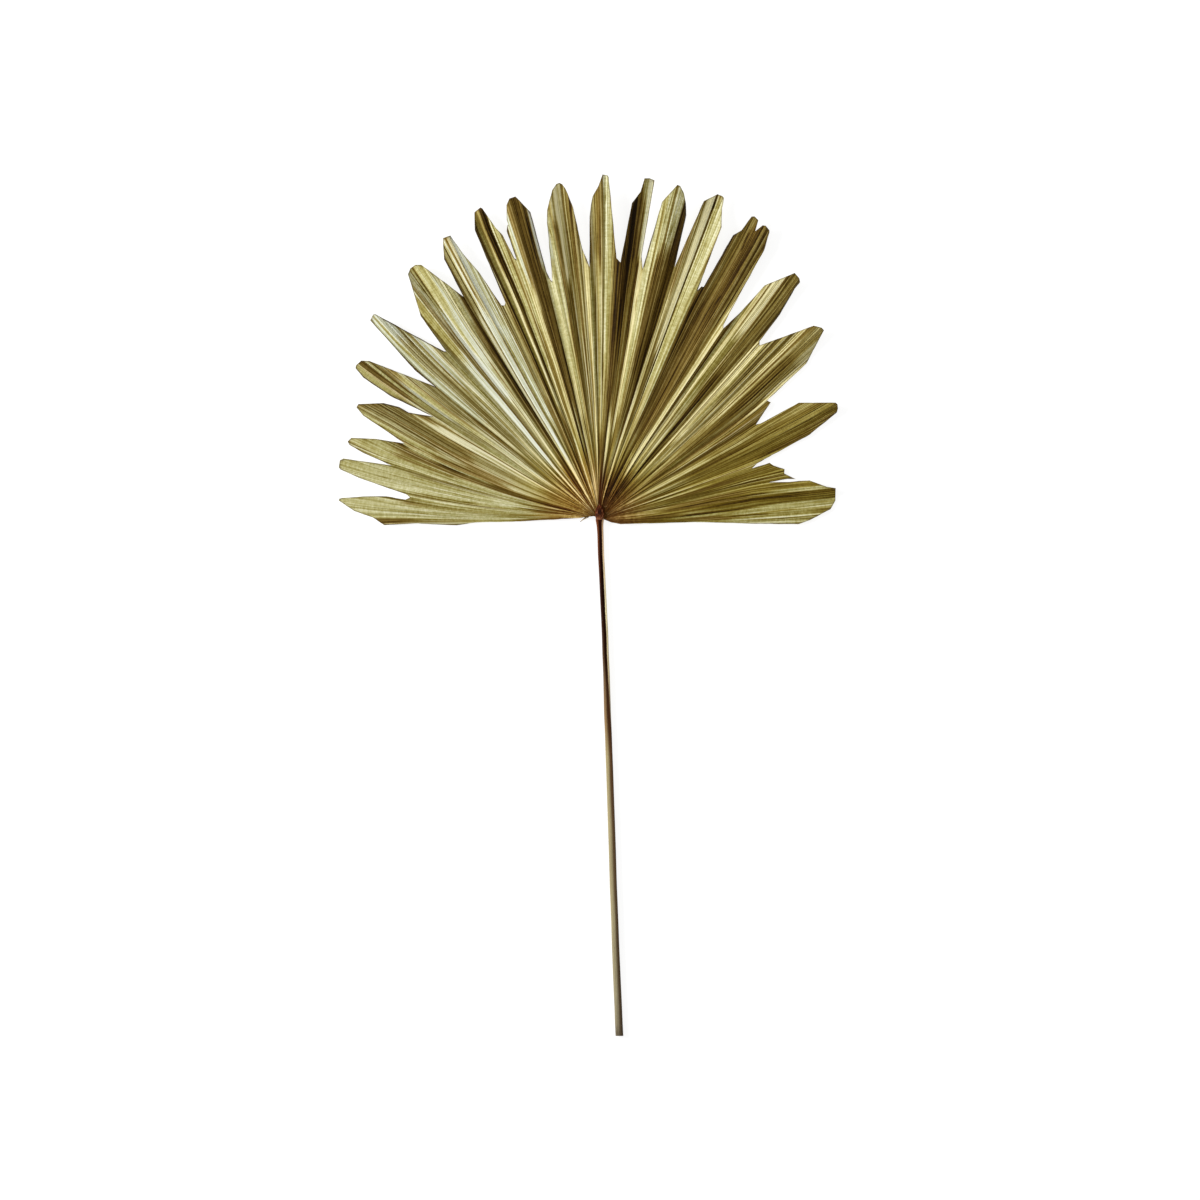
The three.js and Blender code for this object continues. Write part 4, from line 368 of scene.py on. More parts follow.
    (42.60, 43.60, 98, 182, 0.36, "o"), (40.70, 41.10, 105, 200, 0.74, "o"), (41.25, 41.45, 105, 200, 0.20, "b"), (81.60, 82.30, 207, 245, 0.66, "o"), (97.32, 97.40, 164, 241, 0.60, "o"),
    (96.85, 97.30, 183, 241, 0.84, "o"), (96.30, 96.85, 164, 241, 0.50, "o"), (118.80, 119.25, 70, 168, 0.62, "s"), (144.50, 145.60, 91, 172, 0.70, "l"), (145.60, 146.30, 126, 168, 0.70, "s"),
    (131.90, 133.20, 42, 168, 0.42, "l"), (49.00, 49.60, 70, 150, 0.34, "o"), (48.50, 49.00, 56, 164, 0.58, "o"), (48.00, 48.50, 63, 168, 0.84, "o"), (47.75, 48.00, 77, 164, 0.40, "o"),
    (46.35, 47.70, 80, 172, 0.88, "o"), (45.80, 46.30, 91, 168, 0.36, "l"), (81.70, 83.30, 73, 183, 0.42, "o"), (81.45, 81.75, 77, 183, 0.40, "o"), (81.60, 82.40, 207, 245, 0.60, "l"),
    (81.20, 81.60, 203, 245, 0.84, "l"), (88.05, 88.70, 119, 248, 0.86, "l"), (88.80, 89.35, 98, 231, 0.34, "o"), (87.20, 88.05, 105, 210, 0.60, "l"), (91.20, 92.20, 91, 175, 0.30, "l"),
    (89.50, 90.90, 84, 175, 0.74, "l"), (71.40, 72.30, 130, 231, 0.50, "o"), (71.00, 71.35, 130, 245, 0.86, "o"), (70.60, 71.00, 130, 245, 0.80, "l"), (69.30, 70.35, 91, 241, 0.84, "l"),
    (68.40, 69.30, 105, 241, 0.84, "l"), (100.30, 101.90, 105, 183, 0.84, "l"), (105.70, 106.60, 84, 175, 0.66, "o"), (106.60, 107.30, 140, 210, 0.74, "l"), (6.60, 8.00, 105, 162, 0.32, "o"),
    (8.50, 9.30, 80, 119, 0.36, "o"), (5.10, 5.70, 80, 112, 0.34, "o"), (152.00, 154.60, 105, 175, 0.37, "o"), (155.00, 157.20, 130, 183, 0.35, "o"), (151.20, 152.40, 130, 164, 0.30, "o"),
    (174.60, 175.90, 59, 130, 0.26, "l"), (171.40, 172.40, 91, 126, 0.36, "l"), (162.00, 162.90, 105, 147, 0.42, "l"), (165.20, 166.00, 77, 105, 0.32, "l"), (176.20, 177.20, 105, 161, 0.60, "l"),
    (26.90, 27.60, 105, 164, 0.40, "o"), (22.20, 23.40, 126, 158, 0.32, "o"), (81.60, 82.40, 204, 245, 0.50, "o"), (81.15, 81.60, 203, 245, 0.80, "o"), (71.40, 72.30, 42, 130, 0.42, "o"),
    (75.60, 76.90, 183, 241, 0.62, "l"), (77.20, 78.90, 183, 241, 0.66, "l"), (96.90, 97.20, 183, 241, 0.84, "o"), (11.60, 13.00, 84, 150, 0.50, "o"), (12.20, 12.50, 98, 144, 0.30, "o"),
    (141.00, 142.20, 35, 77, 0.46, "o"), (146.60, 148.60, 59, 98, 0.66, "l"), (96.40, 97.90, 63, 168, 0.26, "o"), (98.60, 99.30, 140, 214, 0.72, "l"), (139.10, 139.90, 52, 76, 0.52, "o"),
    (158.60, 163.20, 18, 45, 0.20, "o"), (156.60, 158.60, 22, 46, 0.66, "o"), (149.00, 152.50, 11, 34, 0.50, "o"), (143.00, 147.00, 11, 34, 0.46, "o"), (139.20, 141.20, 18, 42, 0.66, "o"),
    (131.80, 133.60, 24, 50, 0.26, "o"), (127.90, 129.60, 20, 50, 0.26, "o"), (125.70, 127.60, 20, 50, 0.66, "o"), (121.50, 124.30, 21, 49, 0.10, "b"), (110.30, 113.40, 22, 50, 0.26, "o"),
    (106.60, 109.50, 20, 50, 0.76, "o"), (158.80, 162.80, 15, 46, 0.00, "o"), (169.90, 170.90, 18, 56, 0.22, "o"), (166.50, 167.40, 18, 56, 0.26, "o"), (153.60, 154.60, 15, 42, 0.22, "o"),
    (147.80, 148.80, 15, 42, 0.24, "o"), (141.60, 142.60, 15, 42, 0.22, "o"), (136.00, 136.90, 15, 45, 0.24, "o"), (131.90, 133.60, 21, 50, 0.10, "o"), (128.00, 129.60, 17, 50, 0.08, "o"),
    (121.60, 124.30, 18, 49, 0.00, "b"), (115.20, 116.20, 17, 49, 0.20, "o"), (110.40, 113.40, 18, 50, 0.10, "o"), (103.80, 104.60, 17, 46, 0.26, "o"), (89.90, 90.90, 105, 183, 0.82, "o"),
    (83.25, 84.25, 112, 225, 0.05, "b"), (81.80, 83.15, 183, 227, 0.34, "b"), (81.80, 82.60, 230, 246, 0.50, "l"), (80.95, 81.75, 183, 245, 0.94, "l"), (81.15, 81.75, 105, 179, 0.30, "b"),
    (78.65, 79.35, 133, 225, 0.84, "l"), (78.34, 78.62, 148, 225, 0.34, "o"), (75.90, 77.90, 105, 195, 0.28, "b"), (75.35, 75.85, 105, 200, 0.22, "b"), (70.78, 71.65, 126, 244, 1.00, "o"),
    (68.50, 70.10, 133, 232, 0.84, "l"),
]

# Smooth seeded noise for wrinkles and waves.
rng = np.random.default_rng(SEED)
LATTICE = rng.random((64, 64)) * 2 - 1


def wave(x, y):
    """Value noise on a lattice, about -1 to 1, smooth."""
    xi, yi = np.floor(x).astype(int), np.floor(y).astype(int)
    fx, fy = x - xi, y - yi
    fx, fy = fx * fx * (3 - 2 * fx), fy * fy * (3 - 2 * fy)
    v = lambda a, b: LATTICE[a % 64, b % 64]
    return (v(xi, yi) * (1 - fx) + v(xi + 1, yi) * fx) * (1 - fy) + (v(xi, yi + 1) * (1 - fx) + v(xi + 1, yi + 1) * fx) * fy


def blade_height(u, r):
    """Height of the blade's underside, mm."""
    lu, lz = zip(*TIP_LIFT)
    z = np.interp(r, *zip(*HUB_PROFILE)) + pleat(u, r)
    z = z + np.interp(u, lu, lz) * smooth(118, 242, r)
    idx, across = segment_of(u, r)
    start = 0.5 * (NOTCH_R_RIGHT[idx] + NOTCH_R_LEFT[idx])
    free = smooth(start + 2, np.maximum(SEG[idx, 1] + 8, start + 30), r)
    z = z + free * SEG[idx, 2] * across * 1.3
    edge = np.clip(np.abs(across) - 0.55, 0, 1) / 0.45
    z = z + free * SEG[idx, 3] * edge ** 2 * np.where((idx % 3) == 1, -0.6, 1.0)
    calm = smooth(20, 90, r)
    z = z + calm * (0.35 * wave(u * 0.23 + 3, r * 0.021) + 0.16 * wave(u * 0.9 + 11, r * 0.045 + 5))
    return z + 0.25


# ---------------------------------------------------------------- mesh helpers
def new_object(name, verts, faces, uvs=None):
    me = bpy.data.meshes.new(name)
    me.from_pydata([tuple(v) for v in verts], [], [tuple(f) for f in faces])
    me.update()
    ob = bpy.data.objects.new(name, me)
    bpy.context.scene.collection.objects.link(ob)
    return ob


def mesh_from_arrays(name, co, quads_or_tris):
    me = bpy.data.meshes.new(name)
    n = quads_or_tris.shape[1]
    me.vertices.add(len(co))
    me.vertices.foreach_set("co", np.ascontiguousarray(co, dtype=np.float32).ravel())
    me.loops.add(quads_or_tris.size)
    me.loops.foreach_set("vertex_index", quads_or_tris.astype(np.int32).ravel())
    me.polygons.add(len(quads_or_tris))
    me.polygons.foreach_set("loop_start", np.arange(0, quads_or_tris.size, n, dtype=np.int32))
    me.update(calc_edges=True)
    me.validate()
    ob = bpy.data.objects.new(name, me)
    bpy.context.scene.collection.objects.link(ob)
    return ob


def attribute(me, name, values):
    a = me.attributes.new(name, "FLOAT", "POINT")
    a.data.foreach_set("value", np.asarray(values, np.float32))


def points_of(me):
    co = np.empty(len(me.vertices) * 3, np.float32)
    me.vertices.foreach_get("co", co)
    return co.reshape(-1, 3).astype(float)


# ----------------------------------------------------------------- leaf blade
def blade_columns():
    cols = [FU[0] - 4.0, FU[0] - 1.0]
    for a, b, _, _, _, _ in STRIPS:
        cols += [a - 0.08, a + 0.08, b - 0.08, b + 0.08] if b - a > 0.5 else [a - 0.04, 0.5 * (a + b), b + 0.04]
    for k in range(len(FU)):
        left = FU[k + 1] - FU[k] if k + 1 < len(FU) else 0.8
        right = FU[k] - FU[k - 1] if k else 0.8
        if k:
            cols.append(FU[k] - min(0.14, 0.28 * right))
        cols.append(FU[k])
        cols.append(FU[k] + min(0.14, 0.28 * left))
        if k + 1 < len(FU):
            a, b = FU[k] + min(0.14, 0.28 * left), FU[k + 1] - min(0.14, 0.28 * left)
            m = int((b - a) / 0.42)
            cols += [a + (b - a) * (i + 1) / (m + 1) for i in range(m)]
    cols = sorted(cols + [FU[-1] + 1.0, FU[-1] + 4.0])
    keep, folds = [cols[0]], set(np.round(FU, 4))
    for c in cols[1:]:
        if c - keep[-1] >= 0.095:
            keep.append(c)
        elif round(c, 4) in folds:
            keep[-1] = c
    return np.array(keep)


# Loose fibres at the hub, mm from it: root, middle and tip, then thickness at the root.
FIBRES = [
    ((-7.8, 2.4, 4.7), (-10.4, 1.1, 4.4), (-13.6, -1.8, 3.6), 1.45),
    ((-7.6, 1.6, 4.7), (-9.4, 0.7, 4.6), (-10.6, -0.1, 4.2), 0.36),
    # this strand's pale root stands where the hub's edge catches the light: a painted highlight given as a fibre
    ((3.6, 3.6, 5.0), (5.0, 2.0, 5.4), (6.6, 0.4, 4.8), 0.42),
    ((4.0, 5.0, 5.1), (5.6, 4.2, 5.6), (7.2, 2.6, 4.9), 0.30),
    ((-3.9, 4.4, 5.0), (-5.8, 5.4, 5.6), (-8.0, 5.6, 5.0), 0.30),
    ((2.9, 8.6, 5.0), (4.4, 9.4, 5.5), (6.4, 9.2, 4.9), 0.26),
]


def add_fibres(me):
    """Adds the fibres to the mesh as thin closed tapering strands."""
    bm = bmesh.new()
    bm.from_mesh(me)
    for a, b, c, thick in FIBRES:
        a, b, c = (Vector(p) for p in (a, b, c))
        rings = []
        for k in range(9):
            f = k / 8
            p = a * (1 - f) ** 2 + b * 2 * f * (1 - f) + c * f * f
            d = ((b - a) * (1 - f) + (c - b) * f).normalized()
            side = d.cross(Vector((0, 0, 1))).normalized()
            up = side.cross(d)
            w = thick * 0.5 * (1 - 0.82 * f)
            rings.append([bm.verts.new((p + side * w * math.cos(q) + up * w * 0.7 * math.sin(q)) * MM)
                          for q in (i * math.pi / 3 for i in range(6))])
        for p, q in zip(rings, rings[1:]):
            for i in range(6):
                bm.faces.new((p[i], p[(i + 1) % 6], q[(i + 1) % 6], q[i]))
        bm.faces.new(rings[0][::-1])
        bm.faces.new(rings[-1])
    bmesh.ops.recalc_face_normals(bm, faces=bm.faces[-(6 * 8 + 2) * len(FIBRES):])
    bm.to_mesh(me)
    bm.free()
    me.update()


# A torn slit in the short segments on the right, and the lower left edge where it runs in to the stalk.
SLIT = [(139.4, 27.0), (132.9, 26.3), (118.4, 26.0), (126.7, 27.6), (131.5, 28.4), (137.2, 28.3)]
LOWER_LEFT = [(-13.3, 0.4), (-9.0, 1.4), (-3.9, 2.3)]


def visible_outline():
    """The outline with the slit and the finer lower left edge."""
    near = [k for k, (x, y) in enumerate(OUTLINE) if -14 < x < -12 and y < 1]
    ring = [tuple(p) for k, p in enumerate(OUTLINE) if k not in near]
    at = min(range(len(ring)), key=lambda k: math.hypot(ring[k][0] - 138.6, ring[k][1] - 27.4))
    return ring[:at] + SLIT + ring[at + 1:] + LOWER_LEFT


def rim_distance(x, y):
    """Distance from each point to the outline, mm, up to 12."""
    best = np.full(len(x), 144.0)
    ring = visible_outline()
    for (ax, ay), (bx, by) in zip(ring, ring[1:] + ring[:1]):
        dx, dy = bx - ax, by - ay
        t = np.clip(((x - ax) * dx + (y - ay) * dy) / max(dx * dx + dy * dy, 1e-9), 0, 1)
        best = np.minimum(best, (x - ax - t * dx) ** 2 + (y - ay - t * dy) ** 2)
    return np.sqrt(best)


def make_blade():
    cols = blade_columns()
    rows = np.concatenate([[2.6, 3.6, 4.8, 6.4, 8.4, 11, 14, 17.5, 21.5, 26, 31, 36.5, 42.5, 49, 56], np.arange(63, 246, 6.5), [249]])
    U, R = np.meshgrid(cols, rows)
    x, y = fan_to_xy(U, R)
    z = blade_height(U, R)
    n, m = len(cols), len(rows)
    low = np.stack([x, y, z], -1).reshape(-1, 3)
    top = low + (0, 0, SHEET)
    size = n * m
    j, i = np.meshgrid(np.arange(m - 1), np.arange(n - 1), indexing="ij")
    a = (j * n + i).ravel()
    b, c, d = a + 1, a + 1 + n, a + n
    flip = (i + j).ravel() % 2 == 0
    t1 = np.where(flip[:, None], np.stack([a, d, c], 1), np.stack([a, d, b], 1))
    t2 = np.where(flip[:, None], np.stack([a, c, b], 1), np.stack([b, d, c], 1))
    upper = np.concatenate([t1, t2])
    # round the rim: clockwise seen from above
    ring = np.concatenate([np.arange(n - 1), np.arange(m - 1) * n + n - 1, ((m - 1) * n + np.arange(n - 1, 0, -1)), np.arange(m - 1, 0, -1) * n])
    nxt = np.roll(ring, -1)
    tris = np.concatenate([
        upper + size, upper[:, ::-1],
        np.stack([nxt + size, nxt, ring], 1), np.stack([ring + size, nxt + size, ring], 1)])
    co = np.concatenate([low, top]) * MM
    sheet = mesh_from_arrays("blade_sheet", co, tris)

    # outline with slightly uneven, natural edges
    pts = []
    ring = visible_outline() + [(3.1 * math.cos(math.radians(t)), 3.1 * math.sin(math.radians(t))) for t in range(144, -7, -12)]
    for k, (px, py) in enumerate(ring):
        qx, qy = ring[(k + 1) % len(ring)]
        length = math.hypot(qx - px, qy - py)
        parts = max(1, int(length / 3.2))
        nx, ny = -(qy - py) / max(length, 1e-6), (qx - px) / max(length, 1e-6)
        for s in range(parts):
            f = s / parts
            off = 0.0 if s == 0 or math.hypot(px, py) < 8 else 0.16 * float(wave(np.array(k * 7.3 + s * 0.9), np.array(2.5)))
            x, y = px + (qx - px) * f + nx * off, py + (qy - py) * f + ny * off
            if y < 3.2 and abs(x) > 5:
                # the two lower edges rise a little as they run in to the stalk
                y += 0.6 * float(smooth(5, 12, abs(x)) * (1 - smooth(70, 115, abs(x))))
            pts.append((x, y))
    count = len(pts)
    pr = np.array([(x, y, -30.0) for x, y in pts] + [(x, y, 60.0) for x, y in pts]) * MM
    me = bpy.data.meshes.new("blade_cutter")
    side = [(k, (k + 1) % count, (k + 1) % count + count, k + count) for k in range(count)]
    me.from_pydata([tuple(v) for v in pr], [], side + [tuple(range(count - 1, -1, -1)), tuple(range(count, 2 * count))])
    me.update()
    cutter = bpy.data.objects.new("blade_cutter", me)
    bpy.context.scene.collection.objects.link(cutter)

    mod = sheet.modifiers.new("outline", "BOOLEAN")
    mod.operation = "INTERSECT"
    mod.object = cutter
    mod.solver = "MANIFOLD"
    dg = bpy.context.evaluated_depsgraph_get()
    cut = bpy.data.meshes.new_from_object(sheet.evaluated_get(dg), depsgraph=dg)
    bpy.data.objects.remove(sheet)
    bpy.data.objects.remove(cutter)
    cut.name = "leaf_blade_skin"
    ob = bpy.data.objects.new("leaf_blade_skin", cut)
    bpy.context.scene.collection.objects.link(ob)

    whole = len(cut.vertices)
    add_fibres(cut)
    co = points_of(cut) / MM
    u, r = xy_to_fan(co[:, 0], co[:, 1])
    idx, across = segment_of(u, r)
    attribute(cut, "fan_u", u)
    attribute(cut, "fan_r", r)
    attribute(cut, "face", face_slope(u, r))
    attribute(cut, "rim", rim_distance(co[:, 0], co[:, 1]))
    start = 0.5 * (NOTCH_R_RIGHT[idx] + NOTCH_R_LEFT[idx])
    attribute(cut, "free", np.clip((r - start) / (SEG[idx, 1] - start), 0, 1))
    tones(cut, u, r, idx, across, whole)
    co[:, 0] += HUB[0]
    co[:, 1] += HUB[1]
    cut.vertices.foreach_set("co", (co * MM).astype(np.float32).ravel())
    cut.update()
    cut.polygons.foreach_set("use_smooth", [True] * len(cut.polygons))
    cut.set_sharp_from_angle(angle=math.radians(62))
    return ob


# Stretches of the outline with a painted shadow along the rim, where the edge turns under: nominal angle from and to,
# radius from and to.
DARK_RIMS = [
    (132.4, 138.6, 145, 215), (148.3, 150.4, 125, 200), (140.4, 141.8, 130, 180), (150.6, 153.0, 145, 175),
    (120.7, 122.4, 170, 215), (112.2, 113.2, 170, 235), (106.6, 107.6, 180, 215), (73.6, 75.4, 172, 230),
    (91.4, 93.0, 160, 200), (66.6, 68.0, 160, 180), (65.6, 66.5, 175, 235), (48.2, 49.8, 155, 215),
    (79.2, 80.4, 175, 215), (47.8, 49.2, 150, 172), (100.8, 102.2, 165, 225),
]

# Tone of each segment, right to left: lightness, partly painted light for how the segment tilts toward or away from the
# light; green; silvery sheen, a painted reflection; brown.
TONES = [
    (0.10, 0.35, 0.0, 0.05), (-0.05, 0.25, 0.0, 0.15), (0.00, 0.20, 0.0, 0.10), (-0.10, 0.15, 0.0, 0.15),
    (0.10, 0.05, 0.0, 0.10), (0.10, 0.15, 0.1, 0.05), (-0.35, 0.05, 0.0, 0.25), (0.10, 0.00, 0.1, 0.15),
    (0.10, 0.25, 0.2, 0.00), (-0.10, 0.00, 0.0, 0.15), (0.05, 0.05, 0.1, 0.10), (0.10, 0.10, 0.1, 0.05),
    (-0.05, 0.10, 0.2, 0.05), (-0.10, 0.05, 0.4, 0.10), (0.10, 0.15, 0.7, 0.05), (0.05, 0.15, 0.7, 0.05),
    (0.10, 0.20, 0.6, 0.00), (0.15, 0.15, 0.6, 0.00), (-0.15, 0.30, 0.2, 0.15), (0.05, 0.70, 0.1, 0.00),
    (0.10, 0.80, 0.1, 0.00), (0.10, 0.80, 0.1, 0.00),
]


def crests(u, r):
    """1 on a sharp crest, -1 in a sharp valley, 0 a little to each side of them."""
    k = np.clip(np.searchsorted(FU, u), 1, len(FU) - 1)
    k = np.where(np.abs(u - FU[k - 1]) < np.abs(u - FU[k]), k - 1, k)
    on = np.clip(1 - np.abs(u - FU[k]) / 0.15, 0, 1)
    f = FU[k]
    d = 0.25
    turn = (2 * pleat(f, r) - pleat(f - d, r) - pleat(f + d, r)) / (np.radians(d) * np.maximum(r, 10))
    return on * np.clip(0.9 * turn, -1, 1) * smooth(6, 30, r)


# Direction of the key light, and how much of the light on the flat comes from it and from the rest.
KEY_DIR = (-0.865, 0.128, 0.485)
KEY, FILL = 0.55, 0.60

# tint s is a silvery sheen, a painted reflection of the light
TINTS = {"o": (0.0, 0.0, 0.0), "s": (0.0, 1.0, 0.0), "l": (0.85, 0.0, 0.0), "b": (0.0, 0.0, 0.75)}


def tones(me, u, r, idx, across, whole):
    """Tone and tints of the blade: a broad tone for each segment, then its strips and lines over it."""
    table = np.array(TONES)
    centre = np.concatenate([[FU[0]], NOTCH[:, 0], [FU[-1]]])
    centre = 0.5 * (centre[1:] + centre[:-1])
    far = smooth(90, 150, r)
    light, green, silver_sheen, brown = (np.interp(u, centre, table[:, k]) * (1 - far) + table[idx, k] * far for k in range(4))
    # painted light: faces sloping toward the fan's left side, where the key light stands, are made paler and faces
    # sloping away darker
    tone = 0.42 + 0.45 * light + 0.16 * np.clip(face_slope(u, r), -1.0, 1.0)
    # strips wander a little, and their ends are ragged
    us = u + 0.10 * wave(u * 0.31 + 2, r * 0.030) * smooth(30, 70, r)
    rs = r + 5.0 * wave(u * 2.3, r * 0.05 + 9) + 2.5 * wave(u * 5.1 + 4, r * 0.09)
    marked = np.zeros_like(tone)
    for a, b, r0, r1, level, tint in STRIPS:
        near = (u > a - 0.6) & (u < b + 0.6) & (r > r0 - 16) & (r < r1 + 16)
        if not near.any():
            continue
        e = min(0.07, 0.25 * (b - a))
        x, y = us[near], rs[near]
        end = 7.0 if b - a > 0.5 else 9.0
        w = smooth(a - e, a + e, x) * (1 - smooth(b - e, b + e, x))
        w = w * smooth(r0 - end, r0 + end, y) * (1 - smooth(r1 - end, r1 + end, y))
        w = w * 0.94
        tone[near] += (level - tone[near]) * w
        marked[near] += (1 - marked[near]) * w
        g, s, n = TINTS[tint]
        green[near] += (g - green[near]) * w
        silver_sheen[near] += (s - silver_sheen[near]) * w
        brown[near] += (n - brown[near]) * w
    # A face that looks toward the key light needs less paleness of its own to show its tone, one that looks away more.
    s = np.clip(face_slope(u, r), -0.9, 0.9)
    x, y = fan_to_xy(u, r)
    th = np.arctan2(y, x)
    facing = (s * (-np.sin(th) * KEY_DIR[0] + np.cos(th) * KEY_DIR[1]) + KEY_DIR[2]) / np.sqrt(1 + s * s)
    shade = (FILL + KEY * np.maximum(facing, 0.03) / KEY_DIR[2]) / (FILL + KEY)
    shown = np.clip(20 + 215 * tone, 8, 250) / shade ** (0.7 / 2.2)
    tone = (shown - 20) / 215
    # painted light and sheen: the left half of the fan, nearer the key light, is made paler and more silvery
    left = smooth(108, 120, u)
    tone = tone + 0.11 * left * (1 - np.clip(tone, 0, 1)) * (1 - 0.5 * (brown > 0.5))
    tone = tone + 0.05 * smooth(110, 120, u) * (1 - smooth(150, 160, u)) * (tone < 0.9)
    tone = tone - 0.18 * smooth(112, 130, u) * (tone - 0.58) * smooth(40, 80, r)
    tone = tone - 0.22 * smooth(134, 142, u) * (1 - smooth(158, 163, u)) * (tone - 0.5) * smooth(40, 80, r)
    tone = tone - 0.16 * np.clip(green - 0.4, 0, 0.5) * (tone - 0.60)
    silver_sheen = np.maximum(silver_sheen, 0.35 * left * (1 - green) * smooth(48, 80, r) * (1 - brown))
    silver_sheen = silver_sheen * smooth(24, 62, r)
    green = green * (0.35 + 0.65 * smooth(26, 62, r))
    # near the hub the right side is darker than the left, and palest just left of the rib
    inner = 1 - smooth(24, 52, r)
    tone = tone - inner * 0.12 * smooth(36, 48, u) * (1 - smooth(84, 88, u)) + inner * 0.12 * smooth(89, 93, u) * (1 - smooth(104, 112, u))
    tone = tone + 0.45 * (0.40 - tone) * (1 - smooth(56, 66, u)) * (1 - smooth(16, 32, r))
    # mask of the painted shadow along the DARK_RIMS stretches
    dark_rim = np.zeros_like(tone)
    for a, b, r0, r1 in DARK_RIMS:
        dark_rim = np.maximum(dark_rim, smooth(a - 0.1, a + 0.2, u) * (1 - smooth(b - 0.2, b + 0.1, u)) * smooth(r0 - 6, r0 + 6, r) * (1 - smooth(r1 - 6, r1 + 6, r)))
    tone[whole:] = np.where(y[whole:] < 2.6, 0.52, 0.80)
    attribute(me, "tone", tone)
    attribute(me, "crest", crests(u, r))
    attribute(me, "marked", marked)
    attribute(me, "green", green)
    attribute(me, "silver_sheen", silver_sheen)
    attribute(me, "brown", brown)
    attribute(me, "dark_rim", dark_rim)


# ------------------------------------------------------------- shader helpers
class Nodes:
    def __init__(self, name):
        self.mat = bpy.data.materials.new(name)
        self.mat.use_nodes = True
        self.tree = self.mat.node_tree
        self.tree.nodes.clear()
        self.out = self.tree.nodes.new("ShaderNodeOutputMaterial")
        self.bsdf = self.tree.nodes.new("ShaderNodeBsdfPrincipled")
        self.tree.links.new(self.bsdf.outputs[0], self.out.inputs[0])

    def link(self, a, b):
        if isinstance(a, (int, float)):
            b.default_value = a
        elif isinstance(a, tuple):
            b.default_value = (*a, 1.0) if len(a) == 3 and b.type == "RGBA" else a
        else:
            self.tree.links.new(a, b)

    def attr(self, name):
        n = self.tree.nodes.new("ShaderNodeAttribute")
        n.attribute_type = "GEOMETRY"
        n.attribute_name = name
        return n.outputs["Fac"]

    def math(self, op, a, b=0.0, c=0.0, clamp=False):
        n = self.tree.nodes.new("ShaderNodeMath")
        n.operation = op
        n.use_clamp = clamp
        for s, v in zip(n.inputs, (a, b, c)):
            self.link(v, s)
        return n.outputs[0]

    def add(self, a, b):
        return self.math("ADD", a, b)

    def mul(self, a, b):
        return self.math("MULTIPLY", a, b)

    def step(self, x, a, b):
        """0 below a, 1 above b, smooth between."""
        n = self.tree.nodes.new("ShaderNodeMapRange")
        n.interpolation_type = "SMOOTHSTEP"
        self.link(x, n.inputs[0])
        n.inputs[1].default_value, n.inputs[2].default_value = a, b
        n.inputs[3].default_value, n.inputs[4].default_value = 0.0, 1.0
        return n.outputs[0]

    def vec(self, x, y, z=0.0):
        n = self.tree.nodes.new("ShaderNodeCombineXYZ")
        for s, v in zip(n.inputs, (x, y, z)):
            self.link(v, s)
        return n.outputs[0]

    def noise(self, vector, scale=1.0, detail=2.0, rough=0.5, lac=2.0):
        n = self.tree.nodes.new("ShaderNodeTexNoise")
        n.noise_dimensions = "3D"
        self.link(vector, n.inputs["Vector"])
        n.inputs["Scale"].default_value = scale
        n.inputs["Detail"].default_value = detail
        n.inputs["Roughness"].default_value = rough
        n.inputs["Lacunarity"].default_value = lac
        return n.outputs[0]

    def ramp(self, x, stops, mode="LINEAR"):
        n = self.tree.nodes.new("ShaderNodeValToRGB")
        e = n.color_ramp.elements
        while len(e) > 1:
            e.remove(e[-1])
        for k, (p, c) in enumerate(stops):
            el = e[0] if k == 0 else e.new(p)
            el.position = p
            el.color = (*c, 1.0)
        n.color_ramp.interpolation = mode
        self.link(x, n.inputs[0])
        return n.outputs[0]

    def mix(self, f, a, b, kind="MIX"):
        n = self.tree.nodes.new("ShaderNodeMix")
        n.data_type = "RGBA"
        n.blend_type = kind
        n.clamp_factor = True
        self.link(f, n.inputs[0])
        self.link(a, n.inputs[6])
        self.link(b, n.inputs[7])
        return n.outputs[2]

    def bump(self, height, strength, distance):
        n = self.tree.nodes.new("ShaderNodeBump")
        n.inputs["Strength"].default_value = strength
        n.inputs["Distance"].default_value = distance
        self.link(height, n.inputs["Height"])
        return n.outputs[0]


def rgb(*c):
    """A colour given as 0 to 255 on a display, as the shader wants it."""
    return tuple(((v / 255 + 0.055) / 1.055) ** 2.4 if v > 10 else v / 255 / 12.92 for v in c)


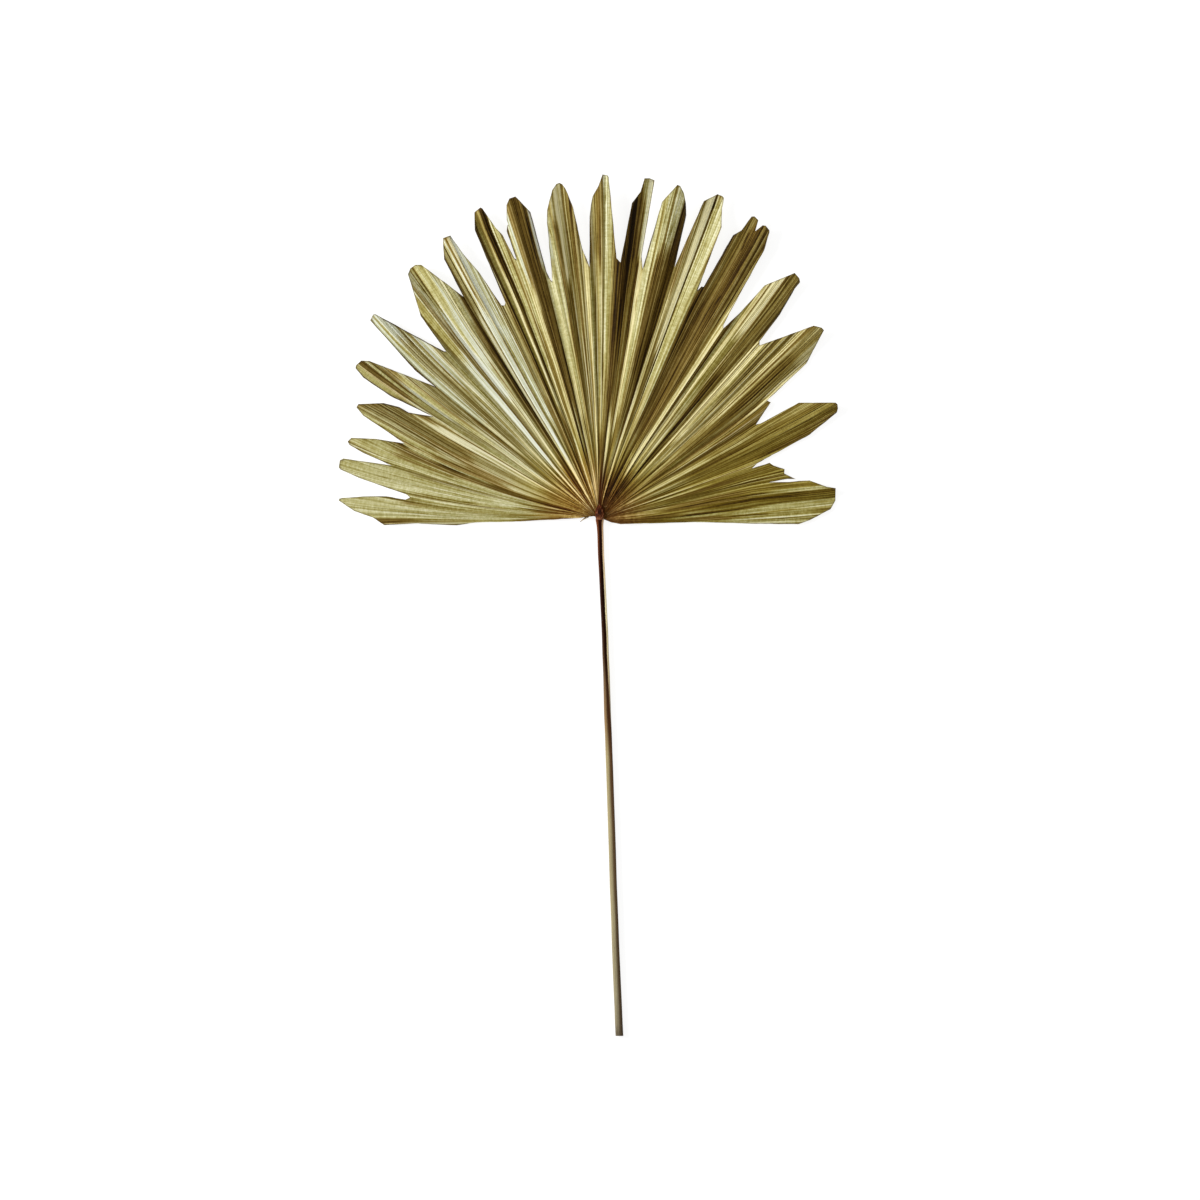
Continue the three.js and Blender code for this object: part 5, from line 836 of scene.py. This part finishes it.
def blade_material():
    m = Nodes("dried_palm_blade")
    u, r, face = m.attr("fan_u"), m.attr("fan_r"), m.attr("face")
    tone, green, silver_sheen, brown = m.attr("tone"), m.attr("green"), m.attr("silver_sheen"), m.attr("brown")
    free = m.attr("free")

    # long streaks: narrow across the fan, long along it
    streak1 = m.noise(m.vec(m.mul(u, 1.9), m.mul(r, 0.010), 0.41), detail=2.0)
    streak2 = m.noise(m.vec(m.mul(u, 6.5), m.mul(r, 0.016), 4.37), detail=1.5)
    streak3 = m.noise(m.vec(m.mul(u, 17.0), m.mul(r, 0.03), 9.43), detail=1.0)
    lines = m.noise(m.vec(m.mul(u, 2.7), m.mul(r, 0.007), 12.61), detail=1.5)
    creases = m.noise(m.vec(m.mul(u, 2.1), m.mul(r, 0.007), 17.39), detail=0.0)
    blotch = m.noise(m.vec(m.mul(u, 0.35), m.mul(r, 0.035), 2.46), detail=3.0)
    mottle = m.noise(m.vec(m.mul(u, 2.2), m.mul(r, 0.11), 6.57), detail=3.0, rough=0.6)
    fine_on = m.step(r, 25.0, 110.0)
    outer = m.step(r, 80.0, 170.0)

    t = m.add(m.add(m.mul(tone, 0.95), 0.02), m.mul(m.add(streak1, -0.5), 0.16))
    # painted highlight along the crests, painted shade down in the valleys
    t = m.add(t, m.mul(m.attr("crest"), 0.28))
    # veins, in sets that stay about as wide apart as the fan opens: near the hub, halfway and outer
    def set_of(noise, lo, hi, strength, where):
        return m.mul(m.mul(m.add(m.step(noise, lo, hi), -0.5), strength), where)
    halfway = m.noise(m.vec(m.mul(u, 1.45), m.mul(r, 0.008), 31.53), detail=1.5)
    near_hub = m.noise(m.vec(m.mul(u, 0.80), m.mul(r, 0.010), 23.41), detail=1.5)
    quiet = m.math("SUBTRACT", 1.0, m.mul(m.attr("marked"), 0.42))
    t = m.add(t, set_of(near_hub, 0.34, 0.66, 0.42, m.math("SUBTRACT", 1.0, m.step(r, 36.0, 80.0))))
    t = m.add(t, set_of(halfway, 0.34, 0.66, 0.38, m.mul(m.mul(quiet, m.step(r, 24.0, 60.0)), m.math("SUBTRACT", 1.0, m.step(r, 115.0, 190.0)))))
    calm = m.math("SUBTRACT", 1.0, m.mul(green, 0.6))
    hair = m.noise(m.vec(m.mul(u, 4.3), m.mul(r, 0.009), 41.37), detail=1.0)
    t = m.add(t, m.mul(calm, set_of(hair, 0.36, 0.64, 0.26, m.step(r, 95.0, 150.0))))
    thread = m.noise(m.vec(m.mul(u, 2.3), m.mul(r, 0.010), 46.29), detail=1.0)
    t = m.add(t, set_of(thread, 0.36, 0.64, 0.24, m.mul(m.step(r, 40.0, 70.0), m.math("SUBTRACT", 1.0, m.step(r, 100.0, 150.0)))))
    t = m.add(t, m.mul(m.mul(calm, quiet), set_of(lines, 0.34, 0.66, 0.28, m.step(r, 70.0, 130.0))))
    t = m.add(t, m.mul(m.mul(calm, m.mul(m.add(streak2, -0.5), 0.46)), fine_on))
    speckle = m.noise(m.vec(m.mul(u, 0.9), m.mul(r, 0.62), 8.37), detail=2.0, rough=0.6)
    t = m.add(t, m.mul(m.add(speckle, -0.5), m.add(0.14, m.mul(green, 0.26))))
    t = m.add(t, m.mul(m.mul(m.add(streak3, -0.5), 0.36), outer))
    t = m.add(t, m.mul(m.add(blotch, -0.5), 0.12))
    t = m.add(t, m.mul(m.add(mottle, -0.5), 0.18))
    # uneven patches where the ribs run together
    patch = m.noise(m.vec(m.mul(u, 0.22), m.mul(r, 0.42), 27.35), detail=3.0, rough=0.6)
    t = m.add(t, m.mul(m.mul(m.add(patch, -0.5), 0.7), m.math("SUBTRACT", 1.0, m.step(r, 12.0, 40.0))))
    # the low right of the fan is the most contrasted at fine scale
    low_right = m.math("SUBTRACT", 1.0, m.step(u, 14.0, 24.0))
    t = m.add(t, m.mul(m.mul(m.add(t, -0.40), 0.04), low_right))
    # thin dark creases where a vein is pinched, painted shade in those creases
    pinch = m.mul(m.math("SUBTRACT", 1.0, m.step(m.math("ABSOLUTE", m.add(creases, -0.5)), 0.0, 0.024)), m.step(r, 45.0, 110.0))
    t = m.math("SUBTRACT", t, m.mul(pinch, 0.26))
    # painted sheen: the palest places are pushed paler still
    t = m.add(t, m.mul(m.math("MAXIMUM", m.add(t, -0.48), 0.0), 0.34))
    gold = m.ramp(t, [
        (0.00, rgb(30, 17, 0)), (0.12, rgb(64, 45, 6)), (0.30, rgb(103, 82, 25)), (0.50, rgb(140, 122, 60)),
        (0.68, rgb(173, 160, 99)), (0.85, rgb(205, 195, 142)), (1.00, rgb(226, 217, 168))])
    # the silvery ramp: a painted reflection of the light on the glossy strips
    pale = m.ramp(t, [
        (0.00, rgb(32, 22, 4)), (0.12, rgb(68, 54, 18)), (0.30, rgb(107, 95, 46)), (0.50, rgb(146, 140, 94)),
        (0.68, rgb(176, 176, 138)), (0.85, rgb(197, 199, 172)), (1.00, rgb(214, 216, 200))])
    leaf = m.ramp(t, [
        (0.00, rgb(34, 26, 0)), (0.12, rgb(74, 60, 8)), (0.30, rgb(114, 100, 34)), (0.50, rgb(150, 140, 76)),
        (0.68, rgb(178, 172, 114)), (0.85, rgb(202, 198, 150)), (1.00, rgb(226, 224, 190))])
    umber = m.ramp(t, [
        (0.00, rgb(22, 11, 0)), (0.12, rgb(54, 34, 4)), (0.30, rgb(94, 71, 22)), (0.50, rgb(130, 106, 50)),
        (0.75, rgb(172, 150, 94)), (1.00, rgb(214, 200, 156))])
    yellow = m.ramp(t, [
        (0.00, rgb(30, 17, 0)), (0.12, rgb(64, 45, 4)), (0.30, rgb(103, 82, 18)), (0.50, rgb(138, 121, 46)),
        (0.68, rgb(168, 154, 80)), (0.85, rgb(196, 184, 118)), (1.00, rgb(222, 211, 154))])
    gold = m.mix(m.math("MAXIMUM", m.math("SUBTRACT", 1.0, m.step(u, 16.0, 42.0)), m.mul(m.math("SUBTRACT", 1.0, m.step(r, 34.0, 80.0)), 0.85)), gold, yellow)
    colour = m.mix(silver_sheen, gold, pale)
    colour = m.mix(green, colour, leaf)
    colour = m.mix(brown, colour, umber)

    # warm brown toward the hub, dark where the ribs run together
    hub = m.math("SUBTRACT", 1.0, m.step(m.add(r, m.mul(m.add(streak1, -0.5), 26.0)), 8.0, 50.0))
    warm = m.ramp(m.add(t, m.mul(m.add(mottle, -0.5), 0.25)), [
        (0.00, rgb(30, 10, 0)), (0.28, rgb(84, 47, 14)), (0.50, rgb(118, 79, 34)), (0.75, rgb(170, 130, 70)), (1.0, rgb(230, 200, 144))])
    colour = m.mix(m.mul(hub, 0.9), colour, warm)
    amber = m.ramp(t, [
        (0.00, rgb(44, 14, 0)), (0.22, rgb(86, 46, 12)), (0.42, rgb(130, 94, 30)), (0.62, rgb(176, 144, 64)), (1.0, rgb(240, 216, 154))])
    golden = m.mul(m.step(u, 88.0, 98.0), m.math("SUBTRACT", 1.0, m.step(r, 22.0, 58.0)))
    colour = m.mix(m.mul(golden, 0.78), colour, amber)
    core = m.math("SUBTRACT", 1.0, m.step(r, 3.0, 19.0))
    colour = m.mix(m.mul(core, 0.85), colour, m.mix(m.step(m.add(streak1, m.mul(m.add(mottle, -0.5), 0.4)), 0.3, 0.7), rgb(46, 16, 0), rgb(108, 66, 22)))
    # the dark end of the rib under the blade shows as a line
    line = m.mul(m.math("ABSOLUTE", m.add(u, -84.9)), m.mul(r, math.pi / 180))
    rib = m.mul(m.math("SUBTRACT", 1.0, m.step(line, 1.2, 2.4)), m.math("SUBTRACT", 1.0, m.step(r, 22.0, 56.0)))
    colour = m.mix(m.mul(rib, 0.88), colour, m.mix(m.step(streak2, 0.35, 0.65), rgb(44, 14, 0), rgb(92, 46, 16)))

    # brown dry tips; a dark line along the rim, partly the browned cut edge and partly painted shade where the edge
    # turns under, and a darker painted shadow along the DARK_RIMS stretches
    dry = m.mul(m.step(free, 0.93, 1.0), m.step(blotch, 0.42, 0.62))
    colour = m.mix(m.mul(dry, 0.35), colour, rgb(112, 84, 44))
    edge = m.math("SUBTRACT", 1.0, m.step(m.add(m.attr("rim"), m.mul(m.add(mottle, -0.5), 0.5)), 0.15, 0.95))
    colour = m.mix(m.mul(edge, 0.62), colour, rgb(84, 68, 34))
    thin = m.math("SUBTRACT", 1.0, m.step(m.add(m.attr("rim"), m.mul(m.add(mottle, -0.5), 0.6)), 0.45, 1.25))
    colour = m.mix(m.mul(m.mul(thin, 0.85), m.attr("dark_rim")), colour, rgb(72, 60, 40))
    # small flecks
    fleck = m.noise(m.vec(m.mul(u, 2.6), m.mul(r, 0.28), 5.44), detail=2.0, rough=0.7)
    colour = m.mix(m.mul(m.step(fleck, 0.70, 0.80), 0.12), colour, rgb(104, 80, 34))

    m.link(colour, m.bsdf.inputs["Base Color"])
    rough = m.add(0.50, m.mul(m.add(streak2, -0.5), 0.22))
    rough = m.add(rough, m.mul(green, 0.10))
    m.link(rough, m.bsdf.inputs["Roughness"])
    m.bsdf.inputs["Specular IOR Level"].default_value = 0.05

    # parallel veins, finer sets fading in where the blade is wide enough for them
    def veins(per_degree, start, end):
        wob = m.mul(m.add(m.noise(m.vec(m.mul(u, 0.8), m.mul(r, 0.02), 7.48)), -0.5), 0.9)
        s = m.math("SINE", m.mul(m.add(u, m.mul(wob, 0.25)), per_degree * 2 * math.pi))
        return m.mul(s, m.step(r, start, end))
    h = m.mul(m.math("ADD", veins(1.35, 16, 50), 0.0), 0.32)
    h = m.add(h, m.mul(veins(2.9, 60, 120), 0.22))
    h = m.add(h, m.mul(veins(5.7, 120, 190), 0.12))
    h = m.add(h, m.mul(streak2, 0.9))
    h = m.add(h, m.mul(streak3, 0.35))
    pucker = m.noise(m.vec(m.mul(u, 1.2), m.mul(r, 0.16), 3.52), detail=2.0)
    h = m.add(h, m.mul(pucker, 0.35))
    m.link(m.bump(h, 0.6, 0.0005), m.bsdf.inputs["Normal"])
    return m.mat


# -------------------------------------------------------------------- petiole
STALK = [
    (30.0, 2.0, 0.25, 2.1, 2.6, 0), (28.6, 1.9, 0.45, 1.9, 2.6, 0), (22, 1.6, 0.8, 1.6, 3.1, 0), (14, 1.2, 1.3, 1.3, 3.7, 0),
    (7, 0.8, 1.9, 1.1, 4.2, 0), (4.1, 0.5, 2.45, 1.0, 4.7, 0), (2.6, 0.4, 2.8, 1.0, 5.1, 0),
    (0.6, 0.2, 2.95, 0.9, 5.3, 0.1), (-1.2, 0.1, 2.75, 0.7, 5.0, 0.3), (-4, 0.3, 2.3, 0.5, 4.5, 0.7),
    (-11, 0.7, 2.15, 0.2, 4.1, 1.0), (-25, 1.1, 2.15, 0, 3.9, 1.1), (-39, 1.8, 2.15, 0, 3.8, 1.1),
    (-53, 2.5, 2.2, 0, 3.8, 1.1), (-67, 3.2, 2.2, 0, 3.8, 1.0), (-81, 3.9, 2.25, 0, 3.8, 0.9),
    (-95, 4.2, 2.25, 0, 3.9, 0.8), (-109, 4.9, 2.3, 0, 3.9, 0.6), (-123, 5.3, 2.35, 0, 3.9, 0.45),
    (-137, 5.6, 2.4, 0, 4.0, 0.3), (-151, 6.3, 2.4, 0, 4.0, 0.2), (-172, 7.0, 2.45, 0, 4.0, 0.15),
    (-193, 7.7, 2.45, 0, 4.1, 0.1), (-214, 8.4, 2.5, 0, 4.1, 0.1), (-235, 9.1, 2.5, 0, 4.1, 0.1),
    (-256, 9.6, 2.5, 0, 4.2, 0.1), (-277, 10.5, 2.5, 0, 4.2, 0.1), (-298, 11.3, 2.55, 0, 4.2, 0.1),
    (-319, 12.1, 2.6, 0, 4.2, 0.1), (-340, 13.0, 2.6, 0, 4.2, 0.1), (-354, 13.6, 2.65, 0, 4.2, 0.1),
    (-361.4, 14.0, 2.65, 0, 4.2, 0.1),
]


def make_petiole():
    s = np.array(STALK)[::-1]
    ys = np.concatenate([np.linspace(-361.4, -20, 150), np.linspace(-18.5, 30, 60)])
    cols = [np.interp(ys, s[:, 0], s[:, k]) for k in range(1, 6)]
    if len(ys) > 8:
        kernel = np.array([1, 2, 3, 2, 1.0]) / 9
        cols = [np.concatenate([c[:2], np.convolve(c, kernel, "valid"), c[-2:]]) for c in cols]
    cx, hw, z0, z1, groove = cols
    n = 40
    ang = np.linspace(0, 2 * math.pi, n, endpoint=False)
    rings = []
    around = []
    for k, y in enumerate(ys):
        h = z1[k] - z0[k]
        c, sn = np.cos(ang), np.sin(ang)
        # flattened D: rounded below, flatter above
        px = np.sign(c) * np.abs(c) ** 0.72
        pz = np.where(sn < 0, -np.abs(sn) ** 0.8, np.abs(sn) ** 0.62)
        pz = 0.5 + 0.5 * pz
        # channel along the upper face, to the right of the middle
        dip = groove[k] / h * np.exp(-((px - 0.22) / 0.34) ** 2) * (sn > 0)
        ridge = 0.018 * np.sin(ang * 13 + 0.02 * y) + 0.014 * np.sin(ang * 21 - 0.011 * y + 1.0)
        wob = 0.03 * float(wave(np.array(y * 0.05), np.array(1.5)))
        x = cx[k] + wob * 3 + hw[k] * px * (1 + ridge)
        z = z0[k] + h * (pz - dip) * (1 + ridge * 0.5)
        rings.append(np.stack([x, np.full(n, y), np.maximum(z, 0.02)], 1))
        around.append(px)
    co = np.concatenate(rings)
    faces = []
    for k in range(len(ys) - 1):
        for i in range(n):
            a, b = k * n + i, k * n + (i + 1) % n
            faces.append((a, b, b + n, a + n))
    side = len(faces)
    # cut end: a rim, a slightly sunken pith and a middle point
    base = len(co)
    mid0 = rings[0].mean(0)
    inner = mid0 + (rings[0] - mid0) * 0.78 + (0, 0.25, 0)
    core = mid0 + (rings[0] - mid0) * 0.4 + (0, 0.55, 0)
    tip = rings[-1].mean(0)
    co = np.concatenate([co, inner, core, [mid0 + (0, 0.7, 0)], [tip + (0, 0.3, 0)]])
    for i in range(n):
        j = (i + 1) % n
        faces.append((j, i, base + i, base + j))
        faces.append((base + j, base + i, base + n + i, base + n + j))
        faces.append((base + n + j, base + n + i, base + 2 * n))
        last = (len(ys) - 1) * n
        faces.append((last + i, last + j, base + 2 * n + 1))
    shown = co.copy()
    shown[:, 0] += HUB[0]
    shown[:, 1] += HUB[1]
    ob = new_object("petiole_skin", shown * MM, faces)
    me = ob.data
    s_along = co[:, 1]
    px = np.concatenate([np.concatenate(around), around[0] * 0.78, around[0] * 0.4, [0, 0]])
    # the dark band along the stalk, partly its own dark brown and partly painted shade on the side turned from the key
    # light: left of the middle under the leaf, on the right side lower down
    middle = np.interp(s_along, [-361, -168, -140, -112, -84, -56, -7, 12], [0.72, 0.58, 0.36, 0.14, 0.0, -0.08, 0.06, 0.05])
    half = np.interp(s_along, [-361, -168, -140, -112, -84, -56, -7, 12], [0.50, 0.50, 0.44, 0.36, 0.46, 0.52, 0.50, 0.42])
    attribute(me, "band", (px - middle) / half)
    attribute(me, "along", s_along)
    attribute(me, "cut", np.concatenate([np.zeros(base), np.ones(2 * n + 1), [0.0]]))
    attribute(me, "turn", np.concatenate([np.tile(np.arange(n) / n, len(ys) + 2), [0, 0]]))
    for p in me.polygons:
        p.use_smooth = True
    me.set_sharp_from_angle(angle=math.radians(50))
    return ob


def petiole_material():
    m = Nodes("dried_stalk")
    y, cut = m.attr("along"), m.attr("cut")
    geo = m.tree.nodes.new("ShaderNodeTexCoord")
    obj = geo.outputs["Object"]
    sep = m.tree.nodes.new("ShaderNodeSeparateXYZ")
    m.link(obj, sep.inputs[0])
    fibre = m.noise(m.vec(m.mul(sep.outputs[0], 5200.0), m.mul(sep.outputs[1], 42.0), m.mul(sep.outputs[2], 5200.0)), detail=3.0)
    broad = m.noise(m.vec(m.mul(sep.outputs[0], 600.0), m.mul(sep.outputs[1], 26.0), m.mul(sep.outputs[2], 600.0)), detail=2.0)
    # khaki, a dark band that is partly painted shade and a pale strip that is a painted highlight, each changing along
    # the stalk
    band = m.add(m.attr("band"), m.mul(m.add(broad, -0.5), 0.7))
    place = m.add(m.mul(m.add(y, m.mul(m.add(broad, -0.5), 24.0)), 1 / 400.0), 0.91)
    left = m.ramp(place, [
        (0.00, rgb(118, 108, 86)), (0.08, rgb(152, 142, 112)), (0.30, rgb(158, 146, 110)), (0.49, rgb(164, 150, 110)), (0.56, rgb(140, 112, 76)), (0.64, rgb(98, 76, 52)),
        (0.72, rgb(58, 33, 17)), (0.78, rgb(50, 22, 8)), (0.88, rgb(102, 56, 28)), (1.00, rgb(122, 64, 30))])
    dark = m.ramp(place, [
        (0.00, rgb(76, 62, 44)), (0.30, rgb(90, 70, 46)), (0.49, rgb(88, 61, 36)), (0.56, rgb(66, 38, 17)), (0.66, rgb(42, 16, 0)), (0.80, rgb(32, 6, 0)), (1.00, rgb(52, 16, 3))])
    right = m.ramp(place, [
        (0.00, rgb(88, 68, 46)), (0.49, rgb(92, 69, 44)), (0.56, rgb(134, 112, 82)), (0.64, rgb(188, 171, 130)),
        (0.76, rgb(216, 204, 160)), (0.88, rgb(212, 178, 136)), (1.00, rgb(150, 96, 62))])
    colour = m.mix(m.step(band, -1.9, -0.45), left, dark)
    colour = m.mix(m.step(band, 0.75, 1.35), colour, right)
    grain = m.ramp(fibre, [(0.25, (0.70, 0.68, 0.66)), (0.5, (1.0, 1.0, 1.0)), (0.75, (1.28, 1.26, 1.22))])
    colour = m.mix(1.0, colour, grain, "MULTIPLY")
    under = m.step(m.mul(sep.outputs[2], -1000.0), -1.4, -0.4)
    colour = m.mix(m.mul(under, 0.5), colour, rgb(128, 108, 72))
    end = m.math("SUBTRACT", 1.0, m.step(y, -361.0, -352.0))
    colour = m.mix(m.mul(end, 0.5), colour, rgb(72, 60, 46))
    dots = m.noise(m.vec(m.mul(sep.outputs[0], 3000.0), 0.0, m.mul(sep.outputs[2], 3000.0)), detail=2.0)
    pith = m.ramp(dots, [(0.3, (0.030, 0.016, 0.008)), (0.55, (0.110, 0.070, 0.036)), (0.8, (0.260, 0.190, 0.110))])
    colour = m.mix(cut, colour, pith)
    m.link(colour, m.bsdf.inputs["Base Color"])
    m.link(m.add(0.52, m.mul(m.add(fibre, -0.5), 0.3)), m.bsdf.inputs["Roughness"])
    m.bsdf.inputs["Specular IOR Level"].default_value = 0.05
    m.link(m.bump(m.add(fibre, m.mul(broad, 0.6)), 0.5, 0.0004), m.bsdf.inputs["Normal"])
    return m.mat


# -------------------------------------------------------------------- hastula
def make_hastula():
    """The horny flap: an arched hood with a thin rim, its foot on the stalk's head and its point on the blade."""
    rows = 22
    n = 27
    co, faces, rim = [], [], []
    y0, y1 = -0.2, 10.9
    for k in range(rows):
        f = k / (rows - 1)
        y = y0 + (y1 - y0) * f
        w = 3.55 * (math.sin(math.pi * min(1, (f * 0.86 + 0.16))) ** 0.62) * (1 - 0.15 * f)
        if f > 0.93:
            w *= 1 - (f - 0.93) * 9
        w = max(w, 0.28)
        crown = 2.5 * math.sin(math.pi * (0.22 + 0.70 * f)) ** 0.8 + 0.25
        seat = 5.35 - 0.35 * f
        for i in range(n):
            a = -1 + 2 * i / (n - 1)
            z = seat + crown * max(0.0, 1 - abs(a) ** 2.4) ** 0.75
            # shallow dimple and ridges along the hood
            z += 0.16 * math.sin(a * 9 + f * 2) * (1 - abs(a)) - 0.35 * math.exp(-(a / 0.22) ** 2) * math.sin(math.pi * f)
            co.append((0.1 + a * w, y + 0.25 * a * a, z))
            rim.append(abs(a))
    top = len(co)
    for k in range(rows - 1):
        for i in range(n - 1):
            a = k * n + i
            faces.append((a, a + 1, a + 1 + n, a + n))
    # underside
    for k in range(rows):
        for i in range(n):
            x, y, z = co[k * n + i]
            co.append((x * 0.97, y, 4.9 - 0.5 * k / (rows - 1) + 0.25 * (z - 4.9) * (0.2 + 0.5 * (1 - rim[k * n + i]))))
            rim.append(1.0)
    for k in range(rows - 1):
        for i in range(n - 1):
            a = top + k * n + i
            faces.append((a, a + n, a + 1 + n, a + 1))
    ring = [i for i in range(n)] + [k * n + n - 1 for k in range(1, rows)] + [(rows - 1) * n + i for i in range(n - 2, -1, -1)] + [k * n for k in range(rows - 2, 0, -1)]
    for a, b in zip(ring, ring[1:] + ring[:1]):
        faces.append((b, a, a + top, b + top))
    co = np.array(co)
    co[:, 0] += HUB[0]
    co[:, 1] += HUB[1]
    ob = new_object("hastula_skin", co * MM, faces)
    attribute(ob.data, "rim", rim)
    for p in ob.data.polygons:
        p.use_smooth = True
    ob.data.set_sharp_from_angle(angle=math.radians(70))
    return ob


def hastula_material():
    m = Nodes("horny_hastula")
    geo = m.tree.nodes.new("ShaderNodeTexCoord")
    sep = m.tree.nodes.new("ShaderNodeSeparateXYZ")
    m.link(geo.outputs["Object"], sep.inputs[0])
    grain = m.noise(m.vec(m.mul(sep.outputs[0], 1300.0), m.mul(sep.outputs[1], 420.0), m.mul(sep.outputs[2], 900.0)), detail=3.0)
    colour = m.ramp(grain, [(0.30, rgb(26, 6, 0)), (0.48, rgb(62, 24, 8)), (0.62, rgb(112, 58, 28)), (0.74, rgb(188, 134, 92))])
    ahead = m.mul(m.add(sep.outputs[1], -HUB[1] * MM), 1000.0)
    foot = m.math("SUBTRACT", 1.0, m.step(ahead, -0.2, 2.6))
    colour = m.mix(m.mul(foot, 0.6), colour, rgb(150, 96, 64))
    rim = m.attr("rim")
    colour = m.mix(m.mul(m.step(rim, 0.70, 1.0), 0.6), colour, rgb(70, 28, 10))
    pit = m.mul(m.math("SUBTRACT", 1.0, m.step(rim, 0.1, 0.6)), m.math("SUBTRACT", 1.0, m.step(m.math("ABSOLUTE", m.add(ahead, -5.0)), 0.8, 3.4)))
    colour = m.mix(m.mul(pit, 0.75), colour, rgb(18, 4, 0))
    m.link(colour, m.bsdf.inputs["Base Color"])
    m.bsdf.inputs["Specular IOR Level"].default_value = 0.06
    m.bsdf.inputs["Roughness"].default_value = 0.45
    m.link(m.bump(grain, 0.5, 0.0003), m.bsdf.inputs["Normal"])
    return m.mat


# ------------------------------------------------------------------- assembly
blade = make_blade()
blade.data.materials.clear()
blade.data.materials.append(blade_material())
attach(blade, "root")
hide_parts("leaf_blade")

petiole = make_petiole()
petiole.data.materials.append(petiole_material())
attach(petiole, "root")
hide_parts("petiole")

hastula = make_hastula()
hastula.data.materials.append(hastula_material())
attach(hastula, "root")
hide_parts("hastula")

# ------------------------------------------------------------------ the stage
def make_floor():
    ob = new_object("floor", [(-3, -3, 0), (3, -3, 0), (3, 3, 0), (-3, 3, 0)], [(0, 1, 2, 3)])
    ob.location.z = -0.0002
    m = Nodes("pale_floor")
    geo = m.tree.nodes.new("ShaderNodeTexCoord")
    n = m.noise(geo.outputs["Object"], scale=3.0, detail=3.0)
    colour = m.ramp(n, [(0.3, (0.28, 0.28, 0.28)), (0.7, (0.30, 0.30, 0.297))])
    m.link(colour, m.bsdf.inputs["Base Color"])
    m.bsdf.inputs["Emission Color"].default_value = (1.0, 1.0, 1.0, 1.0)
    m.bsdf.inputs["Emission Strength"].default_value = 0.82
    m.bsdf.inputs["Roughness"].default_value = 0.9
    m.bsdf.inputs["Specular IOR Level"].default_value = 0.12
    ob.data.materials.append(m.mat)
    return ob


make_floor()


def area(name, place, target, size, power, colour=(1, 1, 1)):
    d = bpy.data.lights.new(name, "AREA")
    d.shape = "RECTANGLE"
    d.size, d.size_y = size
    d.energy = power
    d.color = colour
    ob = bpy.data.objects.new(name, d)
    ob.location = place
    ob.rotation_euler = (Vector(target) - Vector(place)).to_track_quat("-Z", "Y").to_euler()
    ob.visible_camera = False
    bpy.context.scene.collection.objects.link(ob)
    return ob


area("key", (-1.95, 0.45, 1.10), (0.0, 0.12, 0.0), (0.7, 1.1), 57.0)
area("top", (0.2, 0.2, 2.6), (0.0, 0.0, 0.0), (2.4, 2.4), 10.0)
world = bpy.data.worlds.new("studio")
world.use_nodes = True
world.node_tree.nodes["Background"].inputs[0].default_value = (1, 1, 1, 1)
world.node_tree.nodes["Background"].inputs[1].default_value = 0.45
bpy.context.scene.world = world

# The camera looks straight down on the laid frond. 1200 pixels span 840 mm on the surface.
cam = bpy.data.cameras.new("camera")
cam.sensor_fit = "AUTO"
cam.sensor_width = 36.0
HEIGHT = 9.0
cam.lens = 36.0 * HEIGHT / 0.840
cam.clip_end = 20
camera = bpy.data.objects.new("camera", cam)
camera.location = (HUB[0] * MM + 0.5 * 0.0007, HUB[1] * MM - 80.5 * 0.0007, HEIGHT)
bpy.context.scene.collection.objects.link(camera)
bpy.context.scene.camera = camera
bpy.context.scene.view_settings.view_transform = "Standard"
